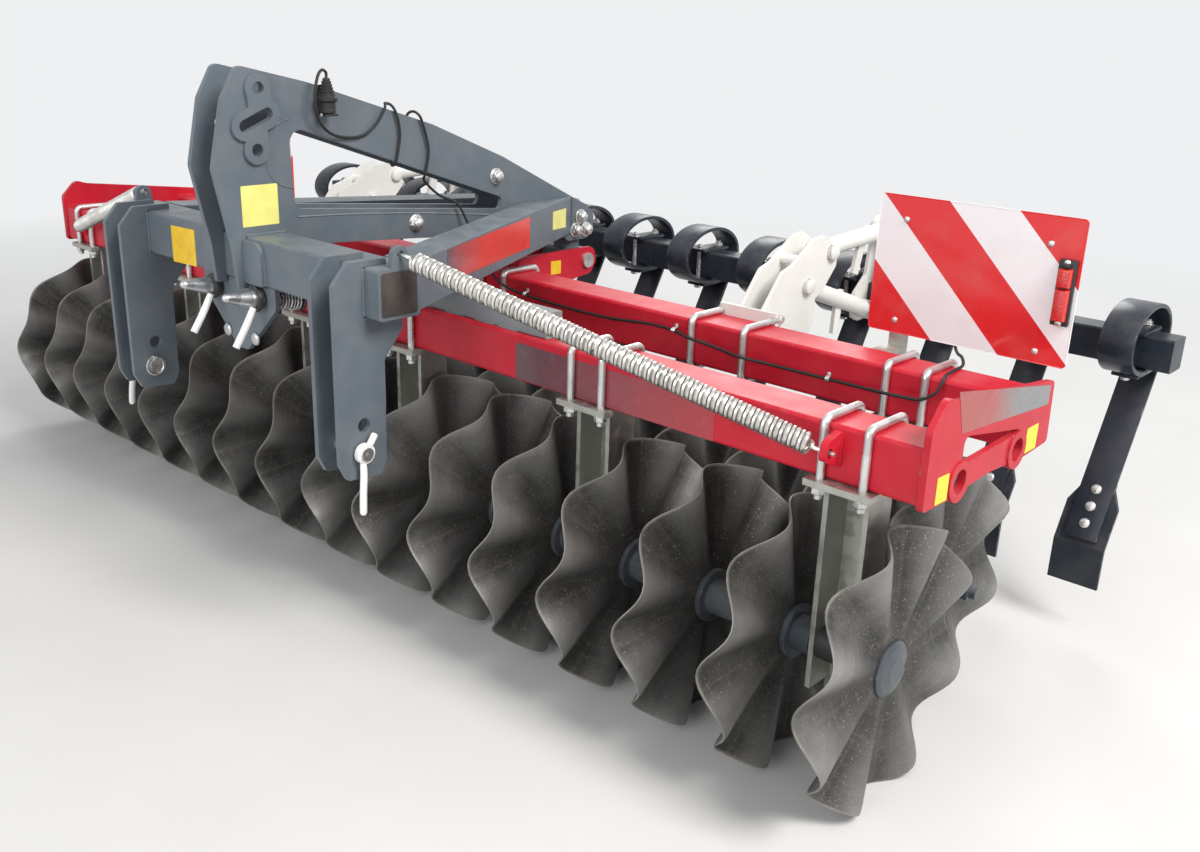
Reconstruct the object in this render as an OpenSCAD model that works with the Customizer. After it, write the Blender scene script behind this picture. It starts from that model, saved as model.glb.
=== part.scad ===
// Disc harrow with two rows of wavy discs, a sprung levelling board and a steering headstock.
// X runs across the machine, Y along the way it travels, and Z up from the floor the discs stand on.
// Along Y, each size below is counted from the front face of the front beam, then the whole is centred.

/* [Frame] */
// Width over the two end plates
working_w = 3000; // [2960:10:3040]
// Side of the square section of both frame beams
beam_s = 100; // [96:1:104]
// Height of the underside of the beams
beam_z = 587; // [580:1:600]
// Front face of the rear beam
rear_beam_y = 375; // [370:1:380]
// Thickness of the end plates
end_t = 12; // [8:1:16]

/* [Disc gangs] */
// Radius of a disc
disc_r = 259; // [250:1:262]
// Thickness of a disc
disc_t = 6; // [4:0.5:8]
// Distance from an end plate's outer face to the nearest disc of the front gang
disc_inset = 50.25; // [45:0.25:60]
// Number of discs in the front gang
front_discs = 16; // [16]
// Number of discs in the rear gang
rear_discs = 15; // [15]
// Number of waves round a disc
waves = 8; // [8]
// How far the rim waves to each side
wave_amp = 26; // [15:1:30]
// Radius of the shafts
shaft_r = 20; // [16:1:22]
// Width of a gang arm
arm_w = 88; // [70:1:92]

/* [Headstock] */
// Height of the horizontal arms and of the crossbeam
head_s = 100; // [90:1:105]
// Underside of the crossbeam
head_z = 745; // [742:1:760]
// Rear face of the crossbeam
cross_y = -195; // [-200:1:-190]
// Half the length of the crossbeam
cross_half = 500; // [470:1:520]
// Distance across the outer faces of the mast plates
mast_w = 100; // [90:1:110]
// Thickness of the mast plates
mast_t = 12; // [8:1:14]
// Half the distance between the two lower hitch points
hitch_half = 413; // [400:1:420]
// Distance along Y of the steering axis and of the pitch pin
pivot_y = 735; // [730:1:740]
// Height of the pitch pin
pivot_z = 671; // [668:1:674]

/* [Levelling board] */
// Side of the square tube that carries the tines
tube_s = 75; // [70:1:76]
// How far the tube reaches past the end plates
tube_over = 35; // [20:1:50]
// Distance from the tube's end to the nearest tine
tine_inset = 86; // [75:1:95]
// Number of tines
tines_n = 13; // [13]
// Width of the spring strip
tine_w = 75; // [60:1:76]
// Thickness of the spring strip
tine_t = 10; // [8:1:12]
// How far a tine's leg leans from upright
lean = 29; // [27:1:31]

/* [Hidden] */
$fn = 48;

red = [0.78, 0.06, 0.09];
slate = [0.33, 0.37, 0.40];
black = [0.10, 0.11, 0.12];
galvanised = [0.66, 0.68, 0.69];
off_white = [0.86, 0.86, 0.82];
disc_steel = [0.33, 0.31, 0.30];
blue_grey = [0.27, 0.32, 0.38];

disc_pitch = (working_w - 2*disc_inset)/(front_discs - 1);
tube_half = working_w/2 + tube_over;
tine_pitch = 2*(tube_half - tine_inset)/(tines_n - 1);
beam_half = working_w/2 - end_t;
beam_top = beam_z + beam_s;
axle_z = disc_r;
front_axle_y = beam_s/2;
rear_axle_y = rear_beam_y + beam_s/2;

// Places of the gang arms, counted in disc pitches from the middle
FRONT_ARMS = [-7, -4, -1, 1, 4, 7];
REAR_ARMS = [-6.5, -0.5, 0.5, 6.5];

// Radius of the U-bolts that hold a gang arm, and how far they are from the arm's middle
ubolt_r = 7.5;
ubolt_x = 41;

// Outlines with a rounding radius as the third number of each corner

function unit(v) = v/norm(v);

// The corner p, between its neighbours a and b, as an arc of the radius p[2]
function corner(p, a, b, steps = 4) =
    let (c = [p[0], p[1]],
         u = unit([a[0], a[1]] - c),
         w = unit([b[0], b[1]] - c),
         half = acos(max(-1, min(1, u*w)))/2,
         start = c + u*p[2]/tan(half),
         stop = c + w*p[2]/tan(half),
         centre = c + unit(u + w)*p[2]/sin(half))
    p[2] == 0 ? [c] :
    [for (i = [0:steps]) centre + p[2]*unit((start - centre)*(1 - i/steps) + (stop - centre)*i/steps)];

function rounded(pts) =
    let (n = len(pts))
    [for (i = [0:n - 1]) each corner(pts[i], pts[(i + n - 1)%n], pts[(i + 1)%n])];

function box_outline(a, b, w, h, r) = [[a, b, r], [a + w, b, r], [a + w, b + h, r], [a, b + h, r]];

// A strip of the thickness t along the middle line pts, as a closed outline with mitred bends
function strip(pts, t) =
    let (n = len(pts),
         ways = [for (i = [0:n - 2]) unit(pts[i + 1] - pts[i])],
         side = [for (i = [0:n - 1])
             let (a = ways[max(i - 1, 0)], b = ways[min(i, n - 2)], d = unit(a + b)) [-d[1], d[0]]*t/2/(a*d)])
    concat([for (i = [0:n - 1]) pts[i] + side[i]], [for (i = [n - 1:-1:0]) pts[i] - side[i]]);

// Placing

module placed() {
    translate([0, -mid_y, 0]) children();
}

// A shape drawn in Y and Z, from x0 to x1
module along_x(x0, x1) {
    translate([x0, 0, 0]) rotate([90, 0, 90]) linear_extrude(x1 - x0) children();
}

// A shape drawn in X and Z, from y0 to y1
module along_y(y0, y1) {
    translate([0, y1, 0]) rotate([90, 0, 0]) linear_extrude(y1 - y0) children();
}

module x_rod(x0, x1, y, z, r) {
    translate([x0, y, z]) rotate([0, 90, 0]) cylinder(r = r, h = x1 - x0);
}

module z_rod(x, y, z0, z1, r) {
    translate([x, y, z0]) cylinder(r = r, h = z1 - z0);
}

// A round bar between two points
module rod(p, q, r) {
    d = q - p;
    translate(p) rotate([0, acos(d[2]/norm(d)), atan2(d[1], d[0])]) cylinder(r = r, h = norm(d));
}

module both_sides() {
    children();
    mirror([1, 0, 0]) children();
}

// Frame beams and end plates

module beam(y) {
    color(red) placed() along_x(-beam_half, beam_half)
        polygon(rounded(box_outline(y, beam_z, beam_s, beam_s, 8)));
}

module beam_front() {
    beam(0);
}

module beam_rear() {
    beam(rear_beam_y);
}

END_OUTLINE = [[-5, 582, 8], [-5, 718, 20], [40, 764, 24], [80, 752, 20], [470, 706, 12], [478, 585, 8],
    [375, 580, 0], [300, 584, 0], [225, 589, 0], [150, 584, 0], [80, 580, 0]];
END_WINDOW = [[117, 631, 14], [335, 636, 2], [335, 643, 2], [117, 683, 14]];
BOSS_Y = [114, 337];
boss_z = 604;
boss_r = 36;
boss_hole_r = 22;
boss_out = 3;

module end_plate() {
    x1 = working_w/2;
    difference() {
        union() {
            along_x(x1 - end_t, x1) difference() {
                polygon(rounded(END_OUTLINE));
                polygon(rounded(END_WINDOW));
            }
            for (y = BOSS_Y) x_rod(x1 - end_t, x1 + boss_out, y, boss_z, boss_r);
        }
        for (y = BOSS_Y) x_rod(x1 - end_t - 1, x1 + boss_out + 1, y, boss_z, boss_hole_r);
    }
}

module end_plate_right() {
    color(red) placed() end_plate();
}

module end_plate_left() {
    color(red) placed() mirror([1, 0, 0]) end_plate();
}

// Apex: the ears behind the rear beam, the pin they hold and the block that swivels on it

rear_face = rear_beam_y + beam_s;
ear_clear = 2.85;
ear_in = REAR_ARMS[2]*disc_pitch - ubolt_x + ubolt_r + ear_clear;
ear_t = 12;
pin_r = 20;
EAR_OUTLINE = [[rear_face, 592, 0], [rear_face, 706, 0], [764, 706, 24], [776, 665, 24], [752, 632, 20],
    [700, 626, 30]];

module apex_ears() {
    color(red) placed() both_sides() difference() {
        along_x(ear_in, ear_in + ear_t) polygon(rounded(EAR_OUTLINE));
        x_rod(ear_in - 1, ear_in + ear_t + 1, pivot_y, pivot_z, pin_r + 0.1);
    }
}

module pitch_pin() {
    color(galvanised) placed() x_rod(-ear_in - ear_t - 10, ear_in + ear_t + 10, pivot_y, pivot_z, pin_r);
}

kingpin_r = 25;
housing_z = 724;
housing_top = 814;
swivel_half = ear_in - 2;
swivel_top = 700;

module swivel() {
    color(slate) placed() difference() {
        union() {
            along_x(-swivel_half, swivel_half)
                polygon(rounded(box_outline(pivot_y - 32, pivot_z - 32, 64, swivel_top - pivot_z + 32, 12)));
            z_rod(0, pivot_y, swivel_top - 1, housing_z - 0.6, 36);
            z_rod(0, pivot_y, swivel_top - 1, housing_top + 1, kingpin_r);
            z_rod(0, pivot_y, housing_top + 0.6, housing_top + 14, 34);
        }
        x_rod(-swivel_half - 1, swivel_half + 1, pivot_y, pivot_z, pin_r + 0.3);
    }
}

slide_top = 740;
slide_half = 640;
slide_y = 12;
slide_w = 48;

// The bar the headstock's arms slide on, notched where U-bolts pass over the beam
module slide_bar() {
    color(slate) placed() difference() {
        along_x(-slide_half, slide_half)
            polygon(rounded(box_outline(slide_y, beam_top, slide_w, slide_top - beam_top, 3)));
        for (n = FRONT_ARMS)
            for (dx = [-ubolt_x, ubolt_x])
                translate([n*disc_pitch + dx - ubolt_r - 1, 0, beam_top - 1])
                    cube([2*ubolt_r + 2, beam_s, 2*ubolt_r + 3]);
    }
}

// Springs that centre the headstock, from its crossbeam's ends to lugs on the front beam

lug_in = 18;
lug_x = FRONT_ARMS[5]*disc_pitch - lug_in;
lug_y = -34;
lug_z = 648;
lug_hole_r = 8;

module spring_lugs() {
    color(red) placed() both_sides() difference() {
        along_x(lug_x - 7, lug_x + 7)
            polygon(rounded([[0, lug_z - 34, 0], [0, lug_z + 30, 0], [lug_y - 8, lug_z + 20, 16],
                [lug_y - 14, lug_z - 12, 12]]));
        x_rod(lug_x - 8, lug_x + 8, lug_y, lug_z, lug_hole_r);
    }
}

tab_t = 12;
tab_y = -240;
tab_foot = 22;
tab_crown = 16;
tab_high = 40;
SPRING_FRONT = [cross_half - tab_t/2, tab_y, head_z + head_s + 24];
SPRING_REAR = [lug_x, lug_y, lug_z];
spring_r = 20;
spring_lead = 44;
hook_r = 5;
hook_pin_half = 20;

// The hook's pin lies in the lug's hole, and its shank leads from the pin's end to the coils
module spring_hook(at, coils, pin_end) {
    x_rod(at[0] - hook_pin_half, at[0] + hook_pin_half, at[1], at[2], lug_hole_r - 0.2);
    rod([at[0] + pin_end*(hook_pin_half - hook_r), at[1], at[2]], coils, hook_r);
}

module centring_springs() {
    d = unit(SPRING_REAR - SPRING_FRONT);
    a = SPRING_FRONT + d*spring_lead;
    b = SPRING_REAR - d*spring_lead;
    color(galvanised) placed() both_sides() {
        rod(a, b, spring_r);
        spring_hook(SPRING_FRONT, a + d, 1);
        spring_hook(SPRING_REAR, b - d, -1);
    }
}

// Gang arms with their clamps, U-bolts and bearings

arm_t = 10;
arm_deep = 76;
arm_low = 175;
clamp_t = 12;
clamp_side = 24;
ubolt_gap = 0.2;
ubolt_bend = 14;
ubolt_low = 552;
bearing_r = 32;

module gang_arm(x, axle_y) {
    y0 = axle_y - arm_deep/2 + 5;
    difference() {
        translate([x - arm_w/2, y0, arm_low]) cube([arm_w, arm_deep, beam_z - clamp_t - arm_low]);
        translate([x - arm_w/2 + arm_t, y0 - 1, arm_low - 1])
            cube([arm_w - 2*arm_t, arm_deep - arm_t + 1, beam_z - arm_low]);
        x_rod(x - arm_w, x + arm_w, axle_y, axle_z, shaft_r + 5);
    }
}

module clamp_plate(x, y) {
    difference() {
        translate([x - arm_w/2 - 20, y - clamp_side, beam_z - clamp_t])
            cube([arm_w + 40, beam_s + 2*clamp_side, clamp_t]);
        for (dx = [-ubolt_x, ubolt_x])
            for (dy = [-ubolt_r - ubolt_gap, beam_s + ubolt_r + ubolt_gap])
                z_rod(x + dx, y + dy, beam_z - clamp_t - 1, beam_z + 1, ubolt_r + 0.5);
    }
}

// A quarter of a round bar's bend: it starts at the point, in the YZ plane
module quarter_bend(x, y, z, turn) {
    translate([x, y, z]) rotate([0, 90, 0]) rotate([0, 0, turn])
        rotate_extrude(angle = 90) translate([ubolt_bend, 0]) circle(r = ubolt_r);
}

module beam_ubolt(x, y) {
    low_y = y - ubolt_r - ubolt_gap;
    high_y = y + beam_s + ubolt_r + ubolt_gap;
    top_z = beam_top + ubolt_r + ubolt_gap;
    for (leg_y = [low_y, high_y]) z_rod(x, leg_y, ubolt_low, top_z - ubolt_bend, ubolt_r);
    quarter_bend(x, low_y + ubolt_bend, top_z - ubolt_bend, 180);
    quarter_bend(x, high_y - ubolt_bend, top_z - ubolt_bend, 90);
    rod([x, low_y + ubolt_bend, top_z], [x, high_y - ubolt_bend, top_z], ubolt_r);
}

module bearing(x, axle_y) {
    half = arm_w/2 - arm_t;
    difference() {
        x_rod(x - half, x + half, axle_y, axle_z, bearing_r);
        x_rod(x - half - 1, x + half + 1, axle_y, axle_z, shaft_r + 0.5);
    }
}

module arms_front() {
    color(galvanised) placed() for (n = FRONT_ARMS) gang_arm(n*disc_pitch, front_axle_y);
}

module arms_rear() {
    color(galvanised) placed() for (n = REAR_ARMS) gang_arm(n*disc_pitch, rear_axle_y);
}

module clamps_front() {
    color(galvanised) placed() for (n = FRONT_ARMS) clamp_plate(n*disc_pitch, 0);
}

module clamps_rear() {
    color(galvanised) placed() for (n = REAR_ARMS) clamp_plate(n*disc_pitch, rear_beam_y);
}

module ubolts_front() {
    color(galvanised) placed() for (n = FRONT_ARMS)
        for (dx = [-ubolt_x, ubolt_x]) beam_ubolt(n*disc_pitch + dx, 0);
}

module ubolts_rear() {
    color(galvanised) placed() for (n = REAR_ARMS)
        for (dx = [-ubolt_x, ubolt_x]) beam_ubolt(n*disc_pitch + dx, rear_beam_y);
}

module bearings_front() {
    color(black) placed() for (n = FRONT_ARMS) bearing(n*disc_pitch, front_axle_y);
}

module bearings_rear() {
    color(black) placed() for (n = REAR_ARMS) bearing(n*disc_pitch, rear_axle_y);
}

// Disc gangs

segments = 32;
crest_angle = 22.5;
eye_r = 52.6;
ring_mid_r = 150;
spool_r = 34;
flange_r = 52;
flange_half = 13;
arm_gap = 2;
cap_deep = 14;
rear_stub = 66;

function wave(r, a) =
    wave_amp*max(0, r - eye_r)/(disc_r - eye_r)*cos(waves*(a - crest_angle));

// Rings of points go out along one face and back along the other
DISC_RINGS = [
    [eye_r, disc_t/2], [ring_mid_r, disc_t/2], [disc_r, disc_t/2],
    [disc_r, -disc_t/2], [ring_mid_r, -disc_t/2], [eye_r, -disc_t/2]
];

module disc() {
    rings = len(DISC_RINGS);
    points = [for (ring = DISC_RINGS) for (i = [0:segments - 1])
        let (a = i*360/segments)
        [wave(ring[0], a) + ring[1], ring[0]*cos(a), ring[0]*sin(a)]];
    faces = [for (k = [0:rings - 1]) for (i = [0:segments - 1])
        let (j = (i + 1)%segments, a = k*segments, b = (k + 1)%rings*segments)
        each [[a + i, a + j, b + j], [a + i, b + j, b + i]]];
    polyhedron(points = points, faces = faces);
}

module disc_row(n, axle_y) {
    for (i = [0:n - 1])
        translate([(i - (n - 1)/2)*disc_pitch, axle_y, axle_z]) disc();
}

function near_arm(gap, arms) = len([for (a = arms) if (abs(a - gap) < 0.1) a]) > 0;

// Spools between the discs; where an arm stands in a gap, the spool leaves it room
module spool_row(n, axle_y, arms) {
    half_gap = disc_pitch/2;
    arm_half = arm_w/2 + arm_gap;
    difference() {
        union() {
            for (i = [0:n - 1]) {
                x = (i - (n - 1)/2)*disc_pitch;
                from_x = i == 0 ? x - disc_t/2 : x - flange_half;
                to_x = i == n - 1 ? x + disc_t/2 : x + flange_half;
                x_rod(from_x, to_x, axle_y, axle_z, flange_r);
            }
            for (i = [0:n - 2]) {
                gap = i - (n - 1)/2 + 0.5;
                x = gap*disc_pitch;
                reach = half_gap - flange_half + 1;
                if (near_arm(gap, arms)) {
                    x_rod(x - reach, x - arm_half, axle_y, axle_z, spool_r);
                    x_rod(x + arm_half, x + reach, axle_y, axle_z, spool_r);
                } else {
                    x_rod(x - reach, x + reach, axle_y, axle_z, spool_r);
                }
            }
        }
        x_rod(-n*disc_pitch, n*disc_pitch, axle_y, axle_z, shaft_r + 0.1);
    }
}

module hub_cap() {
    rotate([0, 90, 0]) difference() {
        union() {
            cylinder(r = flange_r, h = 4);
            translate([0, 0, 4]) cylinder(r1 = flange_r, r2 = 44, h = 5);
            translate([0, 0, 9]) cylinder(r1 = 44, r2 = 22, h = cap_deep - 9);
        }
        translate([-9, 34, 4]) cube([18, 30, cap_deep]);
    }
}

function gang_half(n) = (n - 1)/2*disc_pitch + disc_t/2;

module shaft_front() {
    half = gang_half(front_discs);
    color(disc_steel) placed() x_rod(-half, half, front_axle_y, axle_z, shaft_r);
}

module shaft_rear() {
    half = gang_half(rear_discs);
    color(disc_steel) placed() x_rod(-half, half, rear_axle_y, axle_z, shaft_r);
}

module spools_front() {
    color(blue_grey) placed() spool_row(front_discs, front_axle_y, FRONT_ARMS);
}

module spools_rear() {
    color(blue_grey) placed() spool_row(rear_discs, rear_axle_y, REAR_ARMS);
}

module discs_front() {
    color(disc_steel) placed() disc_row(front_discs, front_axle_y);
}

module discs_rear() {
    color(disc_steel) placed() disc_row(rear_discs, rear_axle_y);
}

module caps_front() {
    color(blue_grey) placed() both_sides() translate([gang_half(front_discs), front_axle_y, axle_z]) hub_cap();
}

module caps_rear() {
    color(blue_grey) placed() both_sides() translate([gang_half(rear_discs), rear_axle_y, axle_z]) {
        hub_cap();
        rotate([0, 90, 0]) {
            translate([0, 0, cap_deep - 1]) cylinder(r = 12, h = rear_stub);
            translate([0, 0, cap_deep + 30]) cylinder(r = 21, h = 22, $fn = 6);
        }
    }
}

// Mounts of the levelling board on the rear beam, and the pins of its linkage

MOUNT_OUTLINE = [[485, 592, 0], [485, 703, 0], [553, 784, 16], [590, 795, 16], [672, 844, 20], [716, 851, 24],
    [770, 816, 24], [776, 774, 20], [723, 719, 16], [694, 705, 8], [690, 640, 10], [640, 592, 14]];
MOUNT_TUBE = [634, 799];
mount_tube_r = 12;
mount_base_half = 75;
mount_base_t = 10;
mount_base_over = 24;
// Front face and underside of the tube that the linkages carry
tube_y = 1040;
tube_z = 609;
link_in = 24;
link_t = 10;
LOWER_FRONT = [655, 740];
LOWER_REAR = [tube_y - 35, tube_z + 16];
UPPER_FRONT = [748, 808];
UPPER_REAR = [tube_y + 35, tube_z + 215];
link_pin_r = 15;
link_cap_r = 19;
link_cap_t = 9;
MOUNT_UBOLTS = [-69, 69];
link_room = 2;
// The linkages stand just outside the third tine from the middle one
link_x = 3*tine_pitch + tine_w/2 + link_room + link_cap_t + link_t + link_in;

// Two plates with the linkage's arms between them
module link_plates() {
    for (x = [link_x - link_in - link_t, link_x + link_in]) along_x(x, x + link_t) children();
}

module board_mount() {
    difference() {
        union() {
            translate([link_x - mount_base_half, rear_face, beam_z - mount_base_over])
                cube([2*mount_base_half, mount_base_t, beam_s + 2*mount_base_over]);
            link_plates() polygon(rounded(MOUNT_OUTLINE));
            x_rod(link_x - link_in - 1, link_x + link_in + 1, MOUNT_TUBE[0], MOUNT_TUBE[1], mount_tube_r);
        }
        for (p = [LOWER_FRONT, UPPER_FRONT]) x_rod(link_x - 60, link_x + 60, p[0], p[1], link_pin_r + 0.1);
        for (dx = MOUNT_UBOLTS)
            for (z = [beam_z - ubolt_r - ubolt_gap, beam_top + ubolt_r + ubolt_gap])
                along_y(rear_face - 1, rear_face + mount_base_t + 1)
                    translate([link_x + dx, z]) circle(r = ubolt_r + 0.5);
    }
}

module board_mounts() {
    color(off_white) placed() both_sides() board_mount();
}

// U-bolt round the rear beam, closed at its front, with its ends behind the mount's plate
module mount_ubolt(x) {
    low_z = beam_z - ubolt_r - ubolt_gap;
    high_z = beam_top + ubolt_r + ubolt_gap;
    front_y = rear_beam_y - ubolt_r - ubolt_gap;
    for (z = [low_z, high_z]) rod([x, front_y + ubolt_bend, z], [x, rear_face + 36, z], ubolt_r);
    quarter_bend(x, front_y + ubolt_bend, high_z - ubolt_bend, 180);
    quarter_bend(x, front_y + ubolt_bend, low_z + ubolt_bend, 270);
    z_rod(x, front_y, low_z + ubolt_bend, high_z - ubolt_bend, ubolt_r);
}

module mount_ubolts() {
    color(galvanised) placed() both_sides() for (dx = MOUNT_UBOLTS) mount_ubolt(link_x + dx);
}

module link_pin(p) {
    half = link_in + link_t;
    x_rod(link_x - half, link_x + half, p[0], p[1], link_pin_r);
    x_rod(link_x - half - link_cap_t, link_x - half, p[0], p[1], link_cap_r);
    x_rod(link_x + half, link_x + half + link_cap_t, p[0], p[1], link_cap_r);
}

module mount_pins() {
    color(galvanised) placed() both_sides() for (p = [LOWER_FRONT, UPPER_FRONT]) link_pin(p);
}

// Linkage arms; the eye of an arm runs on a pin with a little play

eye_half = 22.5;
arm_eye_r = 24;
arm_r = 21;
stop_w = 26;
stop_half = 5;
LOWER_STOP = [[857, 697], [851, 590]];
UPPER_STOP = [[952, 844], [918, 728]];

// A tube with an eye at each end and a flat stop through it
module link_arm(front, rear, stop, front_play, rear_play) {
    x = link_x;
    d = unit(rear - front);
    difference() {
        union() {
            rod([x, front[0] + d[0]*10, front[1] + d[1]*10], [x, rear[0] - d[0]*10, rear[1] - d[1]*10], arm_r);
            for (p = [front, rear]) x_rod(x - eye_half, x + eye_half, p[0], p[1], arm_eye_r);
            along_x(x - stop_half, x + stop_half) polygon(strip(stop, stop_w));
        }
        x_rod(x - eye_half - 1, x + eye_half + 1, front[0], front[1], link_pin_r + front_play);
        x_rod(x - eye_half - 1, x + eye_half + 1, rear[0], rear[1], link_pin_r + rear_play);
    }
}

module lower_arms() {
    color(off_white) placed() both_sides() link_arm(LOWER_FRONT, LOWER_REAR, LOWER_STOP, 0.3, 0.3);
}

module upper_arms() {
    color(off_white) placed() both_sides() link_arm(UPPER_FRONT, UPPER_REAR, UPPER_STOP, 0.3, 4);
}

// Levelling board

loop_y = 118;
loop_z = 75;
pad_t = 4;
pad_w = 60;
pad_long = 44;
leg_len = 486;
tine_foot = 50;
loop_over = 10;
LOOP_CENTRE = [tube_y + loop_over, tube_z - pad_t - tine_t/2 + loop_z];
// The bracket's corners, counted from the tube's front face and underside
BRACKET_CORNERS = [[-64, -5, 16], [-36, -19, 16], [92, -11, 10], [92, 95, 14], [64, 243, 20], [6, 243, 20],
    [-14, 97, 14], [-64, 55, 16]];
BRACKET_OUTLINE = [for (p = BRACKET_CORNERS) [tube_y + p[0], tube_z + p[1], p[2]]];

module board_tube() {
    color(black) placed() along_x(-tube_half, tube_half)
        polygon(rounded(box_outline(tube_y, tube_z, tube_s, tube_s, 6)));
}

module board_brackets() {
    half = link_in + link_t;
    color(off_white) placed() both_sides() {
        difference() {
            link_plates() polygon(rounded(BRACKET_OUTLINE));
            along_x(link_x - half - 1, link_x + half + 1)
                polygon(rounded(box_outline(tube_y, tube_z, tube_s, tube_s, 6)));
            for (p = [LOWER_REAR, UPPER_REAR])
                x_rod(link_x - half - 1, link_x + half + 1, p[0], p[1], link_pin_r - 1);
        }
        for (p = [LOWER_REAR, UPPER_REAR]) link_pin(p);
    }
}

// The strip starts flat under the tube, loops forward over it as an oval and runs down behind it as a leg
function loop_point(a) = LOOP_CENTRE + [loop_y*cos(a), loop_z*sin(a)];
loop_end = -atan(loop_z*tan(lean)/loop_y);
leg_top = loop_point(loop_end);
leg_way = [-sin(lean), -cos(lean)];
LOOP_LINE = concat([LOOP_CENTRE + [tine_foot, -loop_z]],
    [for (i = [0:36]) loop_point(270 - i*(270 - loop_end)/36)],
    [leg_top + leg_way*leg_len]);

// A paddle is bolted behind its leg, and bends down below the leg's tip
paddle_t = 8;
paddle_neck = 36;
paddle_half = 57;
paddle_lap = 142;
paddle_from = leg_len - paddle_lap;
paddle_bend = leg_len + 12;
paddle_drop = 96;
paddle_collar = 12;
paddle_shoulder = 50;

module tines() {
    color(black) placed() for (i = [0:tines_n - 1]) {
        x = (i - (tines_n - 1)/2)*tine_pitch;
        along_x(x - tine_w/2, x + tine_w/2) polygon(strip(LOOP_LINE, tine_t));
        translate([x - pad_w/2, LOOP_CENTRE[0] + 3, LOOP_CENTRE[1] - loop_z])
            cube([pad_w, pad_long, tube_z - LOOP_CENTRE[1] + loop_z]);
    }
}

module paddles() {
    out = [-leg_way[1], leg_way[0]]*(tine_t + paddle_t)/2;
    a = leg_top + leg_way*paddle_from + out;
    b = leg_top + leg_way*paddle_bend + out;
    c = b - [0, paddle_drop];
    top = a[1] + paddle_t;
    neck = a[1] - paddle_collar;
    shoulder = a[1] - paddle_shoulder;
    low = c[1] - 1;
    outline = [[-paddle_neck, top], [paddle_neck, top], [paddle_neck, neck], [paddle_half, shoulder],
        [paddle_half, low], [-paddle_half, low], [-paddle_half, shoulder], [-paddle_neck, neck]];
    color(black) placed() for (i = [0:tines_n - 1])
        translate([(i - (tines_n - 1)/2)*tine_pitch, 0, 0]) intersection() {
            along_x(-paddle_half, paddle_half) polygon(strip([a, b, c], paddle_t));
            along_y(b[0] - 100, a[0] + 100) polygon(outline);
        }
}

// Warning boards with their stays and lamps

board_w = 423;
board_h = 283;
board_in = 17;
board_y = 556;
board_z = 705;
board_t = 4;
BOARD_X = [working_w/2 - board_in - board_w, working_w/2 - board_in];
stay_x = BOARD_X[0] + 50;
stay_w = 40;
stay_t = 8;
stay_z = 640;
stay_h = 320;
lamp_w = 34;
lamp_d = 24;
lamp_h = 125;
lamp_up = 82;
lamp_edge = 6;

module warning_boards() {
    color("white") placed() both_sides() along_y(board_y, board_y + board_t)
        polygon(rounded(box_outline(BOARD_X[0], board_z, board_w, board_h, 6)));
}

module board_stays() {
    color(galvanised) placed() both_sides() translate([stay_x, 0, 0]) {
        translate([0, rear_face, stay_z]) cube([stay_w, board_y + board_t - rear_face + stay_t, stay_w]);
        translate([0, board_y + board_t, stay_z]) cube([stay_w, stay_t, stay_h]);
    }
}

module lamps() {
    color("firebrick") placed() both_sides()
        translate([BOARD_X[1] - lamp_edge - lamp_w, board_y - lamp_d, board_z + lamp_up])
            cube([lamp_w, lamp_d, lamp_h]);
}

// Headstock: crossbeam, mast, diagonal arms and hitch

cross_front = cross_y - head_s;
head_top = head_z + head_s;
mast_half = mast_w/2;
MAST_OUTLINE = [[-291, 1192, 18], [-126, 1156, 0], [218, 1054, 0], [444, 966, 0], [704, 842, 60], [762, 816, 16],
    [790, 786, 12], [788, 748, 12], [764, 724, 8], [690, 724, 16], [640, 765, 30], [248, 785, 0], [-50, 805, 0],
    [cross_y, 812, 0], [cross_y, head_top, 0], [cross_front, head_top, 0], [cross_front, 735, 0], [-318, 735, 6],
    [-325, 819, 0], [-360, 988, 30], [-330, 1124, 0]];
MAST_WINDOW = [[-177, 1068, 26], [-171, 892, 26], [435, 836, 10], [442, 864, 10]];
TOP_HOLE = [-248, 1146];
SLOT_ENDS = [[-284, 1071], [-230, 1094]];
LOW_HOLE = [-258, 1022];
link_hole_r = 13;
eye_plate_t = 8;
eye_lobe_r = 30;

module crossbeam() {
    color(slate) placed() {
        along_x(-cross_half, cross_half) polygon(rounded(box_outline(cross_front, head_z, head_s, head_s, 8)));
        both_sides() difference() {
            along_x(cross_half - tab_t, cross_half)
                polygon(rounded([[tab_y - tab_foot, head_top - 1, 0], [tab_y + tab_foot, head_top - 1, 0],
                    [tab_y + tab_crown, head_top + tab_high, 14], [tab_y - tab_crown, head_top + tab_high, 14]]));
            x_rod(cross_half - tab_t - 1, cross_half + 1, SPRING_FRONT[1], SPRING_FRONT[2], lug_hole_r);
        }
    }
}

module mast_holes(x0, x1) {
    for (p = [TOP_HOLE, LOW_HOLE]) x_rod(x0, x1, p[0], p[1], link_hole_r);
    for (p = SLOT_ENDS) x_rod(x0, x1, p[0], p[1], link_hole_r);
    along_x(x0, x1) polygon(strip(SLOT_ENDS, 2*link_hole_r));
}

module mast_plates() {
    color(slate) placed() both_sides() difference() {
        along_x(mast_half - mast_t, mast_half) difference() {
            polygon(rounded(MAST_OUTLINE));
            polygon(rounded(MAST_WINDOW));
        }
        mast_holes(mast_half - mast_t - 1, mast_half + 1);
    }
}

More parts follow.
